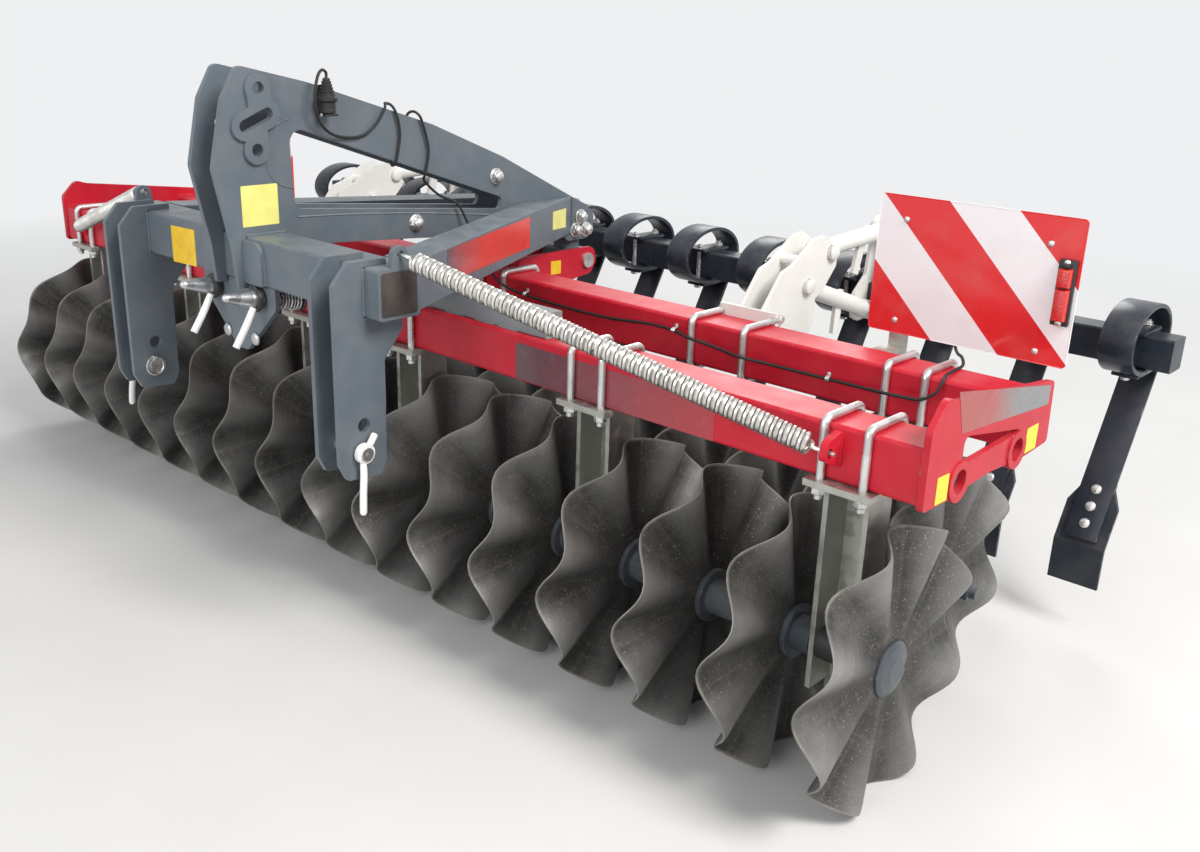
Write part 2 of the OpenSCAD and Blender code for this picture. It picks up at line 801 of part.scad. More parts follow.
module hitch_eye_plates() {
    x0 = mast_half;
    x1 = mast_half + eye_plate_t;
    color(slate) placed() both_sides() difference() {
        union() {
            for (p = [TOP_HOLE, SLOT_ENDS[0], SLOT_ENDS[1], LOW_HOLE]) x_rod(x0, x1, p[0], p[1], eye_lobe_r);
            along_x(x0, x1) polygon(strip(SLOT_ENDS, 2*eye_lobe_r));
            along_x(x0, x1) polygon(strip([TOP_HOLE, SLOT_ENDS[1] + [-14, -4]], 2*eye_lobe_r - 4));
            along_x(x0, x1) polygon(strip([(SLOT_ENDS[0] + SLOT_ENDS[1])/2, LOW_HOLE], 2*eye_lobe_r - 8));
        }
        mast_holes(x0 - 1, x1 + 1);
    }
}

module kingpin_housing() {
    color(slate) placed() difference() {
        union() {
            z_rod(0, pivot_y, housing_z, housing_top, mast_half - mast_t);
            translate([-mast_half + mast_t, pivot_y - 90, housing_z + 20])
                cube([mast_w - 2*mast_t, 80, housing_top - housing_z - 40]);
        }
        z_rod(0, pivot_y, housing_z - 1, housing_top + 1, kingpin_r + 0.4);
    }
}

ARM_PLAN = [[480, cross_y], [391, cross_y], [mast_half, 516], [mast_half, 700]];

module diagonal_arms() {
    color(slate) placed() both_sides() translate([0, 0, head_z]) linear_extrude(head_s) polygon(ARM_PLAN);
}

BRACKET_SIDE = [[-365, 458, 8], [-347, 422, 8], [-266, 416, 8], [-252, 443, 8], [-250, 655, 8], [-203, 712, 4],
    [-203, head_z, 0], [-240, head_z, 0], [-240, 857, 5], [-329, 857, 8], [-365, 816, 8]];
bracket_out = 42;
bracket_t = 12;
web_y = -262;
web_z = 560;
HITCH_HOLE = [-305, 530];
HITCH_PIN = [-314, 476];
hitch_r = 14.5;
hitch_pin_r = 14;

module hitch_brackets() {
    x0 = hitch_half - bracket_out;
    x1 = hitch_half + bracket_out;
    color(slate) placed() both_sides() difference() {
        union() {
            along_x(x0, x0 + bracket_t) polygon(rounded(BRACKET_SIDE));
            along_x(x1 - bracket_t, x1) polygon(rounded(BRACKET_SIDE));
            translate([x0, web_y, web_z]) cube([x1 - x0, bracket_t, head_z - web_z]);
        }
        translate([x0 - 1, cross_front, head_z]) cube([x1 - x0 + 2, head_s, head_s]);
        x_rod(x0 - 1, x1 + 1, HITCH_HOLE[0], HITCH_HOLE[1], hitch_r);
        x_rod(x0 - 1, x1 + 1, HITCH_PIN[0], HITCH_PIN[1], hitch_pin_r + 0.1);
    }
}

pin_over = 22;
collar_half = 7;

module hitch_pins() {
    x0 = hitch_half - bracket_out;
    x1 = hitch_half + bracket_out;
    color(galvanised) placed() both_sides() {
        x_rod(x0 - 12, x1 + pin_over, HITCH_PIN[0], HITCH_PIN[1], hitch_pin_r);
        x_rod(x0 - 20, x0, HITCH_PIN[0], HITCH_PIN[1], 20);
    }
}

handle_x = hitch_half + bracket_out + pin_over - collar_half - 4;
handle_r = 7;
HANDLE_TOP = [handle_x, -288, 512];
HANDLE_END = [handle_x + 10, -330, 352];

// A collar on the pin's end with a bar that hangs from it
module pin_handles() {
    hub = [handle_x, HITCH_PIN[0], HITCH_PIN[1]];
    color("white") placed() both_sides() difference() {
        union() {
            x_rod(handle_x - collar_half, handle_x + collar_half, HITCH_PIN[0], HITCH_PIN[1], 21);
            rod(hub, HANDLE_TOP, handle_r);
            rod(hub, HANDLE_END, handle_r);
        }
        x_rod(handle_x - 20, handle_x + 20, HITCH_PIN[0], HITCH_PIN[1], hitch_pin_r + 0.2);
    }
}

// Pointed plate under the crossbeam, which holds the two plungers, and the plates in front of it
PLATE_POINT = [[-140, head_z, 0], [-140, 700, 14], [-20, 590, 14],
    [20, 590, 14], [140, 700, 14], [140, head_z, 0]];
plunger_x = 85;
plunger_z = 716;
plunger_y = -296;
plunger_tilt = 80;
plunger_back = 108;
plunger_r = 14;
plunger_foot_r = 22;
plunger_foot_t = 6;
plate_y = -290;
corner_x = 117;

module front_plates() {
    color(slate) placed() {
        difference() {
            along_y(plate_y, plate_y + 12) polygon(rounded(PLATE_POINT));
            both_sides() translate([plunger_x, plunger_y, plunger_z]) rotate([plunger_tilt, 0, 0])
                translate([0, 0, -60]) cylinder(r = 14.2, h = 100);
        }
        both_sides() along_y(cross_front - 10, cross_front)
            polygon(rounded([[mast_half, head_z + 3, 0], [corner_x, head_z + 3, 4],
                [corner_x, head_top - 7, 26], [mast_half, head_top - 7, 0]]));
    }
}

module in_plunger() {
    placed() both_sides() translate([plunger_x, plunger_y, plunger_z]) rotate([plunger_tilt, 0, 0]) children();
}

module plungers() {
    color(slate) in_plunger() {
        translate([0, 0, -plunger_back]) cylinder(r = plunger_r, h = plunger_back + 1);
        translate([0, 0, -plunger_back]) cylinder(r = plunger_foot_r, h = plunger_foot_t);
        cylinder(r = 27, h = 14);
        translate([0, 0, 13]) cylinder(r1 = 20, r2 = plunger_tip_r, h = plunger_tip - 12);
        translate([0, 0, plunger_tip]) sphere(r = plunger_tip_r);
    }
}

module plunger_springs() {
    color(galvanised) in_plunger() translate([0, 0, plunger_foot_t - plunger_back + 0.3]) difference() {
        cylinder(r = 21, h = 74);
        translate([0, 0, -1]) cylinder(r = 14.3, h = 80);
    }
}

HANDLE_FROM = [18, -320.6, 704.2];
HANDLE_TO = [22, -370, 627];
plunger_handle_r = 8;

module plunger_handles() {
    color("white") placed() both_sides()
        rod([plunger_x, 0, 0] + HANDLE_FROM, [plunger_x, 0, 0] + HANDLE_TO, plunger_handle_r);
}

// Lighting cable: parked plug on the mast, then down the mast and along the rear beam to the right board

PLUG_AT = [mast_half, -94, 1124];
plug_r = 20;
plug_len = 62;

module plug() {
    color(black) placed() translate(PLUG_AT) {
        translate([0, -10, -34]) cube([8, 20, 60]);
        translate([6 + plug_r, 0, -plug_len/2]) cylinder(r = plug_r, h = plug_len);
        translate([6 + plug_r, 0, plug_len/2]) cylinder(r = plug_r + 3, h = 10);
    }
}

cable_r = 4;
MAST_ROUTE = [[76, -94, 1165.8], [76, -94, 1176], [82, -108, 1182], [88, -124, 1168], [88, -132, 1130],
    [80, -120, 1080], [66, -80, 1048], [57, -30, 1036], [56, 15, 1040], [57, 50, 1064], [59, 70, 1092],
    [53, 78, 1103], [45, 84, 1106], [53, 96, 1101], [58, 106, 1080], [58, 114, 1040], [58, 108, 1000],
    [56, 102, 974], [45, 102, 966], [36, 104, 968], [31, 108, 982], [30, 130, 1020], [30, 150, 1058],
    [33, 157, 1078], [44, 163, 1085], [55, 170, 1080], [58, 180, 1062], [58, 198, 1000], [58, 190, 952],
    [54, 188, 938], [44, 196, 922], [44, 240, 886], [62, 282, 864], [75, 305, 815], [90, 328, 765],
    [94.6, 334.5, 740]];
FRAME_ROUTE = [[95, 335, 738], [112, 346, 702], [138, 351, 672], [200, 364, 654], [315, 370.6, 645],
    [482, 370.6, 645], [610, 370.6, 655], [690, 364, 656], [738, 352, 652], [790, 360, 645], [830, 360, 641],
    [876, 352, 638], [940, 366, 634], [1086, 370.6, 633], [1180, 360, 637], [1216, 352, 640], [1257, 350, 642],
    [1298, 352, 645], [1326, 358, 664], [1332, 368, 686], [1328, 392, 694], [1320, 440, 691.3], [1316, 480, 691.3],
    [1296, 516, 696], [1270, 550, 693], [1254, 570, 702], [1252, 566.5, 740]];

// A round cord through the route's points, with a ring of eight points at each of many steps
cord_sides = 8;

function smooth(pts, n) =
    let (m = len(pts))
    concat([for (i = [0:m - 2]) for (k = [0:n - 1])
        let (t = k/n, a = pts[max(i - 1, 0)], b = pts[i], c = pts[i + 1], d = pts[min(i + 2, m - 1)])
        0.5*(2*b + (c - a)*t + (2*a - 5*b + 4*c - d)*t*t + (3*b - a - 3*c + d)*t*t*t)], [pts[m - 1]]);

module cord(route, r, steps) {
    line = smooth(route, steps);
    m = len(line);
    points = [for (i = [0:m - 1])
        let (d = unit(line[min(i + 1, m - 1)] - line[max(i - 1, 0)]),
             u = unit(cross(d, abs(d[0]) < 0.8 ? [1, 0, 0] : [0, 1, 0])),
             v = cross(d, u))
        for (k = [0:cord_sides - 1]) line[i] + r*(u*cos(k*360/cord_sides) + v*sin(k*360/cord_sides))];
    around = [for (i = [0:m - 2]) for (k = [0:cord_sides - 1])
        let (j = (k + 1)%cord_sides, a = i*cord_sides, b = a + cord_sides)
        each [[a + k, b + k, b + j], [a + k, b + j, a + j]]];
    ends = [[for (k = [0:cord_sides - 1]) k], [for (k = [cord_sides - 1:-1:0]) (m - 1)*cord_sides + k]];
    polyhedron(points = points, faces = concat(around, ends));
}

module cable_mast() {
    color(black) placed() cord(MAST_ROUTE, cable_r, 2);
}

module cable_frame() {
    color(black) placed() cord(FRAME_ROUTE, cable_r, 1);
}

// The middle of the whole along Y, between the plungers' tips and the backs of the tines' loops
plunger_tip = 77;
plunger_tip_r = 9;
mid_y = (plunger_y - plunger_tip*sin(plunger_tilt) - plunger_tip_r + LOOP_CENTRE[0] + loop_y + tine_t/2)/2;

beam_front();
beam_rear();
end_plate_left();
end_plate_right();
apex_ears();
pitch_pin();
slide_bar();
spring_lugs();
arms_front();
arms_rear();
clamps_front();
clamps_rear();
ubolts_front();
ubolts_rear();
bearings_front();
bearings_rear();
board_mounts();
mount_ubolts();
mount_pins();
warning_boards();
board_stays();
lamps();
cable_frame();
centring_springs();
swivel();
crossbeam();
mast_plates();
hitch_eye_plates();
kingpin_housing();
diagonal_arms();
hitch_brackets();
hitch_pins();
pin_handles();
front_plates();
plungers();
plunger_springs();
plunger_handles();
plug();
cable_mast();
shaft_front();
spools_front();
discs_front();
caps_front();
shaft_rear();
spools_rear();
discs_rear();
caps_rear();
lower_arms();
upper_arms();
board_tube();
board_brackets();
tines();
paddles();
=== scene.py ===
import math

import bmesh
import bpy
from mathutils import Matrix, Vector


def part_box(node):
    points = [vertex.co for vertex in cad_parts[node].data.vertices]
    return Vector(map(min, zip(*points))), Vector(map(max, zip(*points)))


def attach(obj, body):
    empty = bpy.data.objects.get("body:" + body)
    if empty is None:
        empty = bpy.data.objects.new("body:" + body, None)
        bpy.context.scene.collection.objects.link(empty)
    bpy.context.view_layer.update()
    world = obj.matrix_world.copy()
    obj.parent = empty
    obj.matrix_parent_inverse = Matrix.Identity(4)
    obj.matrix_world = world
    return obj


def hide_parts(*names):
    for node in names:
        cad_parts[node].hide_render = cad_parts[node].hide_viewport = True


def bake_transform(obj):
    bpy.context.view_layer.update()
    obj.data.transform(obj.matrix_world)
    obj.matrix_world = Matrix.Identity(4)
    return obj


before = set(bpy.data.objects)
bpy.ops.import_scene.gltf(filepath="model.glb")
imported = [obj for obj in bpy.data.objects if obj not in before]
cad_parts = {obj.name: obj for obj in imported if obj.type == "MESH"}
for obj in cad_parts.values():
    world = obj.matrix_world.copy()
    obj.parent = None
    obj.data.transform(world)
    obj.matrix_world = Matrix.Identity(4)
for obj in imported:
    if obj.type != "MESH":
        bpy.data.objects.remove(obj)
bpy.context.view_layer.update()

# Sizes are in mm, with Y counted from the front face of the front beam, as on the machine
FRONT_FACE_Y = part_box("beam_front")[0].y
SIDES = (1, -1)

# Beams, gang arms and gangs
BEAM_LOW, BEAM_SIDE, REAR_BEAM_Y = 587, 100, 375
PITCH = 193.3
FRONT_ARMS = [-7, -4, -1, 1, 4, 7]
REAR_ARMS = [-6.5, -0.5, 0.5, 6.5]
FRONT_AXLE_Y, REAR_AXLE_Y, AXLE_Z = 50, 425, 259
DISC_RADIUS, DISC_FLAT, DISC_THICK, WAVE_DEEP, WAVES = 259, 52.6, 6, 26, 8

# Headstock: the centring springs' holes, the plungers and the hitch pins
LUG_X = 1335.1
SPRING_FRONT, SPRING_REAR, SPRING_MIDDLE = (494, -240, 869), (LUG_X, -34, 648), (0, -137, 758.5)
PLUNGER_FOOT, PLUNGER_TILT = (85, -296, 716), math.radians(80)
HITCH_PIN = (466, -314, 476)
HITCH_PIN_Y, HITCH_PIN_Z = HITCH_PIN[1:]

# Levelling board: its links' pins, its tube and its tines, whose loop is an oval that leans into the leg
LINK_X, MOUNT_PINS, BOARD_PINS = 807, ((655, 740), (748, 808)), ((1005, 625), (1075, 824))
TUBE_Y, TUBE_LOW, TUBE_TOP, TUBE_SIDE = 1040, 609, 684, 75
TINE_PITCH, TINES = 241.5, 13
TINE_X = [(i - (TINES - 1) / 2) * TINE_PITCH for i in range(TINES)]
LEG_LONG, TINE_WIDE, TINE_THICK = 486, 75, 10
LOOP_Y, LOOP_Z, LOOP_LONG, LOOP_HIGH, LEAN = 1050, 675, 118, 75, math.radians(29)
LOOP_END = -math.atan(LOOP_HIGH * math.tan(LEAN) / LOOP_LONG)
LEG_TOP_Y = LOOP_Y + LOOP_LONG * math.cos(LOOP_END)
LEG_TOP_Z = LOOP_Z + LOOP_HIGH * math.sin(LOOP_END)
DOWN_LEG = Vector((0, -math.sin(LEAN), -math.cos(LEAN)))
PADDLE_BOLTS = (368, 409, 450)


def at(x, y, z):
    """The point in metres."""
    return Vector((x / 1000, y / 1000 + FRONT_FACE_Y, z / 1000))


def on_side(point, side):
    """The point in metres, on the right side for 1 and on the left side for -1."""
    x, y, z = point
    return at(side * x, y, z)


def mm(size):
    return size / 1000


# Camera

def set_camera():
    yaw, pitch, roll = 2.3006, 0.3371, -0.0338
    forward = Vector((math.cos(yaw) * math.cos(pitch), math.sin(yaw) * math.cos(pitch), -math.sin(pitch)))
    level = Vector((math.sin(yaw), -math.cos(yaw), 0))
    down = forward.cross(level)
    right = level * math.cos(roll) + down * math.sin(roll)
    up = level * math.sin(roll) - down * math.cos(roll)
    camera = bpy.data.objects.new("camera", bpy.data.cameras.new("camera"))
    bpy.context.collection.objects.link(camera)
    camera.data.lens, camera.data.sensor_width = 35.13, 36
    turn = Matrix((right, up, -forward)).transposed().to_4x4()
    camera.matrix_world = Matrix.Translation(at(2255.1, -1618.8, 1309.2)) @ turn
    bpy.context.scene.camera = camera


set_camera()
bpy.context.scene.view_settings.view_transform = "Standard"


# Making and finishing meshes

ACROSS = Matrix.Scale(-1, 4, (1, 0, 0))


def choose(piece):
    """Selects one piece by itself."""
    bpy.ops.object.select_all(action="DESELECT")
    piece.select_set(True)
    bpy.context.view_layer.objects.active = piece


def start(primitive, **sizes):
    """A new primitive, selected by itself, with its turn and scale in its mesh."""
    bpy.ops.object.select_all(action="DESELECT")
    primitive(**sizes)
    bpy.ops.object.transform_apply(location=True, rotation=True, scale=True)
    return bpy.context.object


def edit():
    """Goes into edit mode with the whole mesh selected."""
    bpy.ops.object.mode_set(mode="EDIT")
    bpy.ops.mesh.select_all(action="SELECT")


def extrude(way):
    bpy.ops.mesh.extrude_region_move(TRANSFORM_OT_translate={"value": way})


def done(piece):
    bpy.ops.object.mode_set(mode="OBJECT")
    return piece


def face_outwards(piece):
    """Leaves edit mode with every face turned outwards."""
    bpy.ops.mesh.select_all(action="SELECT")
    bpy.ops.mesh.normals_make_consistent(inside=False)
    return done(piece)


def pick(kind, test):
    """Selects, in edit mode, the faces or edges that the test accepts."""
    mesh = bmesh.from_edit_mesh(bpy.context.object.data)
    bpy.ops.mesh.select_mode(type=kind)
    bpy.ops.mesh.select_all(action="DESELECT")
    for item in mesh.faces if kind == "FACE" else mesh.edges:
        if test(item):
            item.select_set(True)
    mesh.select_flush_mode()
    bmesh.update_edit_mesh(bpy.context.object.data)


def modify(piece, kind, **settings):
    """Adds a modifier and applies it."""
    choose(piece)
    modifier = piece.modifiers.new(kind.lower(), kind)
    for name, value in settings.items():
        setattr(modifier, name, value)
    bpy.ops.object.modifier_apply(modifier=modifier.name)


def smooth(piece, degrees):
    choose(piece)
    bpy.ops.object.shade_smooth_by_angle(angle=math.radians(degrees))
    return piece


def join(pieces):
    choose(pieces[0])
    for piece in pieces:
        piece.select_set(True)
    if len(pieces) > 1:
        bpy.ops.object.join()
    return pieces[0]


def dress(piece, name, material):
    """Gives a finished piece its name and its material."""
    piece.name = piece.data.name = name
    piece.data.materials.clear()
    piece.data.materials.append(material)


def fit(piece, name, body, slot, material, *replaced):
    """Dresses a piece and lets it ride on its body."""
    dress(piece, name, material)
    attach(piece, body)
    if replaced:
        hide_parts(*replaced)


def fit_across(piece, name, material, replaced, start_at):
    """Dresses a piece that goes over from one body to the next between two points."""
    dress(piece, name, material)
    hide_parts(replaced)
    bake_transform(piece)


def place(point, facing, turn=0):
    """Where a copy goes: its base at the point, with its own Z along the facing direction."""
    facing_turn = Vector(facing).to_track_quat("Z", "Y").to_matrix().to_4x4()
    return Matrix.Translation(point) @ facing_turn @ Matrix.Rotation(turn, 4, "Z")


def twin_of(piece, matrix):
    """A copy with its own mesh, moved by the matrix."""
    twin = piece.copy()
    twin.data = piece.data.copy()
    twin.data.transform(matrix)
    bpy.context.collection.objects.link(twin)
    return twin


def copies(source, places):
    """One joined piece of copies of the source; the source itself goes."""
    made = [twin_of(source, matrix) for matrix in places]
    bpy.data.objects.remove(source)
    return join(made)


def mirror_copy(piece):
    """The same piece on the other side of the machine."""
    twin = twin_of(piece, ACROSS)
    twin.data.flip_normals()
    return twin


def on_both_sides(matrices):
    """The places, and the same ones across the machine for shapes that are alike on both sides."""
    return matrices + [ACROSS @ matrix @ ACROSS for matrix in matrices]


def curve_through(points, steps):
    """Points on a smooth curve through the given ones."""
    line, last = [], len(points) - 1
    for i in range(last):
        a, b, c, d = (Vector(points[k]) for k in (max(i - 1, 0), i, i + 1, min(i + 2, last)))
        square, cube = 2 * a - 5 * b + 4 * c - d, 3 * b - a - 3 * c + d
        for k in range(steps):
            t = k / steps
            line.append(0.5 * (2 * b + (c - a) * t + square * t ** 2 + cube * t ** 3))
    return line + [Vector(points[last])]


def tube(points, radius, sides=12, swell=None):
    """A round bar along the points, which are in metres; swell gives each point's share of the radius."""
    line = bpy.data.curves.new("bar", "CURVE")
    line.dimensions = "3D"
    line.bevel_depth = radius
    line.bevel_resolution = (sides - 4) // 4
    line.use_fill_caps = True
    spline = line.splines.new("POLY")
    spline.points.add(len(points) - 1)
    for k, point in enumerate(points):
        spline.points[k].co = (*point, 1)
        if swell:
            spline.points[k].radius = swell(k)
    bar = bpy.data.objects.new("bar", line)
    bpy.context.collection.objects.link(bar)
    choose(bar)
    bpy.ops.object.convert(target="MESH")
    return smooth(bpy.context.object, 50)


def turned(profile, sides, sharp=40):
    """A closed piece turned on a lathe: its outline goes up along Z as pairs of radius and height in mm."""
    radius, height = profile[0]
    piece = start(bpy.ops.mesh.primitive_circle_add, vertices=sides, radius=mm(radius), fill_type="NGON",
                  location=(0, 0, mm(height)))
    edit()
    for wider, higher in profile[1:]:
        extrude((0, 0, mm(higher - height)))
        share = wider / radius
        bpy.ops.transform.resize(value=(share, share, 1), center_override=(0, 0, mm(higher)))
        radius, height = wider, higher
    return smooth(face_outwards(piece), sharp)


def cuboid(low, high):
    """A sharp block between two corners in metres."""
    return start(bpy.ops.mesh.primitive_cube_add, size=1, scale=high - low, location=(low + high) / 2)


def block(low, high, edge, steps=2):
    """A plate or block between two corners in metres, with its edges rounded."""
    piece = cuboid(low, high)
    edit()
    bpy.ops.mesh.bevel(offset=mm(edge), segments=steps, affect="EDGES")
    return smooth(done(piece), 30)


# Materials

class Finish:
    """A procedural material under construction."""

    def __init__(self, name, roughness, metallic=0.0, **shader):
        self.material = bpy.data.materials.new(name)
        self.material.use_nodes = True
        self.tree = self.material.node_tree
        self.shader = self.tree.nodes["Principled BSDF"]
        self.shader.inputs["Roughness"].default_value = roughness
        self.shader.inputs["Metallic"].default_value = metallic
        for socket, value in shader.items():
            label = socket.replace("_", " ").title().replace("Ior", "IOR")
            self.shader.inputs[label].default_value = value
        self.place = self.node("ShaderNodeTexCoord").outputs["Object"]

    def node(self, kind, inputs=(), **settings):
        made = self.tree.nodes.new(kind)
        for name, value in settings.items():
            setattr(made, name, value)
        for socket, value in dict(inputs).items():
            if isinstance(value, bpy.types.NodeSocket):
                self.tree.links.new(value, made.inputs[socket])
            else:
                made.inputs[socket].default_value = value
        return made

    def put(self, value, socket):
        self.tree.links.new(value, self.shader.inputs[socket])

    def noise(self, scale, detail=4, rough=0.6, where=None):
        inputs = {"Vector": where or self.place, "Scale": scale, "Detail": detail, "Roughness": rough}
        return self.node("ShaderNodeTexNoise", inputs).outputs["Fac"]

    def span(self, value, low, high, to_low=0.0, to_high=1.0):
        """The value's way from low to high, as a number on the way from to_low to to_high."""
        inputs = {"Value": value, "From Min": low, "From Max": high, "To Min": to_low, "To Max": to_high}
        return self.node("ShaderNodeMapRange", inputs).outputs["Result"]

    def part(self, axis, vector=None):
        """One coordinate of a vector, or else of the place on the object."""
        return self.node("ShaderNodeSeparateXYZ", {0: vector or self.place}).outputs[axis]

    def math(self, operation, a, b=0.0):
        return self.node("ShaderNodeMath", {0: a, 1: b}, operation=operation).outputs[0]

    def mix(self, share, a, b):
        made = self.node("ShaderNodeMix", data_type="RGBA")
        for socket, value in ((0, share), (6, a), (7, b)):
            if isinstance(value, bpy.types.NodeSocket):
                self.tree.links.new(value, made.inputs[socket])
            elif socket:
                made.inputs[socket].default_value = (*value, 1)
            else:
                made.inputs[socket].default_value = value
        return made.outputs[2]

    def rounded(self, radius=0.002):
        """Edges softened as if the metal were rounded there."""
        return self.node("ShaderNodeBevel", {"Radius": radius}, samples=4).outputs["Normal"]

    def normal(self):
        return self.node("ShaderNodeNewGeometry").outputs["Normal"]

    def edges(self):
        """1 along edges, 0 on flat faces."""
        both = {0: self.rounded(0.003), 1: self.normal()}
        dot = self.node("ShaderNodeVectorMath", both, operation="DOT_PRODUCT").outputs["Value"]
        return self.span(dot, 0.995, 0.9)

    def upward(self):
        """1 where the surface faces up and dust settles."""
        return self.span(self.part("Z", self.normal()), 0.3, 0.95)

    def bump(self, height, strength, distance, normal=None):
        inputs = {"Height": height, "Strength": strength, "Distance": distance}
        if normal:
            inputs["Normal"] = normal
        self.put(self.node("ShaderNodeBump", inputs).outputs["Normal"], "Normal")


def tint(colour, share):
    return tuple(min(1, c * share) for c in colour)


DUST = (0.42, 0.36, 0.28)


def paint(name, colour, roughness, dust, worn, wear):
    """Sprayed paint: cloudy tone, orange peel, dust on what faces up, chips along the edges."""
    m = Finish(name, roughness, coat_weight=0.05, coat_roughness=0.2, specular_ior_level=0.3)
    tone = m.mix(m.span(m.noise(3.5), 0.3, 0.7), tint(colour, 0.88), tint(colour, 1.1))
    chips = m.math("MULTIPLY", m.edges(), m.span(m.noise(55, 6), 0.56, 0.64, 0, wear))
    tone = m.mix(chips, tone, worn)
    patches = m.span(m.noise(14, 6, 0.7), 0.42, 0.75, 0, dust)
    settled = m.math("MULTIPLY", patches, m.span(m.upward(), 0, 1, 0.35, 1))
    m.put(m.mix(settled, tone, DUST), "Base Color")
    dull = m.span(settled, 0, 0.5, roughness, 0.8)
    m.put(m.math("ADD", dull, m.span(m.noise(20), 0.3, 0.7, -0.05, 0.07)), "Roughness")
    m.bump(m.noise(320, 2), 0.12, 0.0004, m.rounded())
    return m.material


def zinc(name, colour, roughness, spangle=70):
    """Hot-dip zinc: spangle in patches, dull streaks and a slightly uneven skin."""
    m = Finish(name, roughness, 0.85)
    cells = {"Vector": m.place, "Scale": spangle, "Randomness": 1.0}
    patches = m.node("ShaderNodeTexVoronoi", cells).outputs["Color"]
    patch = m.node("ShaderNodeSeparateColor", {0: patches}).outputs[0]
    tone = m.mix(m.span(patch, 0, 1, 0, 0.55), tint(colour, 0.8), tint(colour, 1.12))
    tone = m.mix(m.span(m.noise(9, 6), 0.45, 0.8, 0, 0.6), tone, (0.36, 0.35, 0.33))
    m.put(tone, "Base Color")
    uneven = m.math("ADD", patch, m.noise(25))
    m.put(m.span(uneven, 0.3, 1.5, roughness - 0.08, roughness + 0.2), "Roughness")
    m.bump(m.noise(120, 4), 0.2, 0.0006, m.rounded(0.0015))
    return m.material


def disc_finish(name, axle_y):
    """Rolled steel of the discs: dark grey skin, wave lobes made lighter by polish and by a painted
    highlight, soil streaks and a bright worn rim.
    """
    m = Finish(name, 0.45, 0.4)
    in_disc_plane = {"Vector": m.place, "Location": -at(0, axle_y, AXLE_Z), "Scale": (0.0, 1.0, 1.0)}
    from_axle = m.node("ShaderNodeMapping", in_disc_plane).outputs[0]
    radius = m.node("ShaderNodeVectorMath", {0: from_axle}, operation="LENGTH").outputs["Value"]
    angle = m.math("ARCTAN2", m.part("Z", from_axle), m.part("Y", from_axle))
    along = m.part("X")

    def streaky(detail, *shares):
        """Noise stretched along the axle, the radius and the turn."""
        parts = {k: m.math("MULTIPLY", *pair) for k, pair in enumerate(zip((along, radius, angle), shares))}
        return m.noise(1.0, detail, 0.7, m.node("ShaderNodeCombineXYZ", parts).outputs[0])

    scuffs, streaks = streaky(5, 3.0, 150.0, 1.6), streaky(6, 4.0, 7.0, 13.0)
    wave_share = m.math("COSINE", m.math("MULTIPLY", angle, WAVES))
    # The lobes' lighter tone is partly polish and partly a painted highlight, as if they faced the light
    lobes = m.span(wave_share, 0.5, -1.0, 0, 0.6)
    lobes = m.math("ADD", lobes, m.span(m.noise(5, 4, 0.55), 0.42, 0.66, 0, 0.5))
    polish_and_highlight = m.math("MULTIPLY", lobes, m.span(radius, 0.10, 0.25, 0.08, 1))
    skin = m.mix(m.span(m.noise(16, 6, 0.7), 0.3, 0.7), (0.026, 0.0255, 0.025), (0.070, 0.068, 0.065))
    skin = m.mix(m.math("MULTIPLY", polish_and_highlight, 0.8), skin, (0.36, 0.355, 0.345))
    from_crease = m.math("ABSOLUTE", m.math("SUBTRACT", wave_share, 0.72))
    crease = m.math("MULTIPLY", m.span(from_crease, 0.12, 0.0, 0, 0.16), m.span(radius, 0.06, 0.14))
    skin = m.mix(crease, skin, (0.20, 0.185, 0.16))
    skin = m.mix(m.span(scuffs, 0.58, 0.76, 0, 0.3), skin, (0.26, 0.245, 0.22))
    skin = m.mix(m.span(streaks, 0.56, 0.74, 0, 0.4), skin, (0.16, 0.125, 0.088))
    skin = m.mix(m.span(m.noise(260, 2), 0.64, 0.70, 0, 0.6), skin, (0.42, 0.40, 0.36))
    rim = m.math("MULTIPLY", m.span(radius, 0.2535, 0.2575), m.span(m.noise(18, 4), 0.35, 0.6, 0.25, 0.9))
    m.put(m.mix(rim, skin, (0.27, 0.25, 0.22)), "Base Color")
    dull = m.span(scuffs, 0.35, 0.75, 0.62, 0.42)
    m.put(m.math("SUBTRACT", dull, m.math("MULTIPLY", polish_and_highlight, 0.12)), "Roughness")
    m.bump(m.math("ADD", scuffs, m.math("MULTIPLY", m.noise(140, 4), 0.6)), 0.3, 0.0006)
    return m.material


def stripes_finish():
    """Slanting red and white bands of reflective film, mirrored on the left board."""
    m = Finish("stripes", 0.28, coat_weight=0.5, coat_roughness=0.08)
    first_band, band_pair = 1.911, 0.286
    across = m.math("ADD", m.math("ABSOLUTE", m.part("X")), m.part("Z"))
    band = m.math("FRACT", m.math("DIVIDE", m.math("SUBTRACT", across, first_band), band_pair))
    white = m.math("LESS_THAN", band, 0.5)
    cells = m.node("ShaderNodeTexVoronoi", {"Vector": m.place, "Scale": 330.0}, feature="DISTANCE_TO_EDGE")
    film = m.span(cells.outputs["Distance"], 0.02, 0.1, 0.93, 1.0)
    tone = m.mix(white, (0.76, 0.010, 0.014), (0.93, 0.93, 0.95))
    tone = m.mix(m.math("SUBTRACT", 1.0, film), tone, (0.70, 0.30, 0.30))
    m.put(m.mix(m.span(m.noise(11, 6), 0.5, 0.8, 0, 0.14), tone, (0.50, 0.46, 0.40)), "Base Color")
    m.bump(m.noise(60, 3), 0.05, 0.0005)
    return m.material


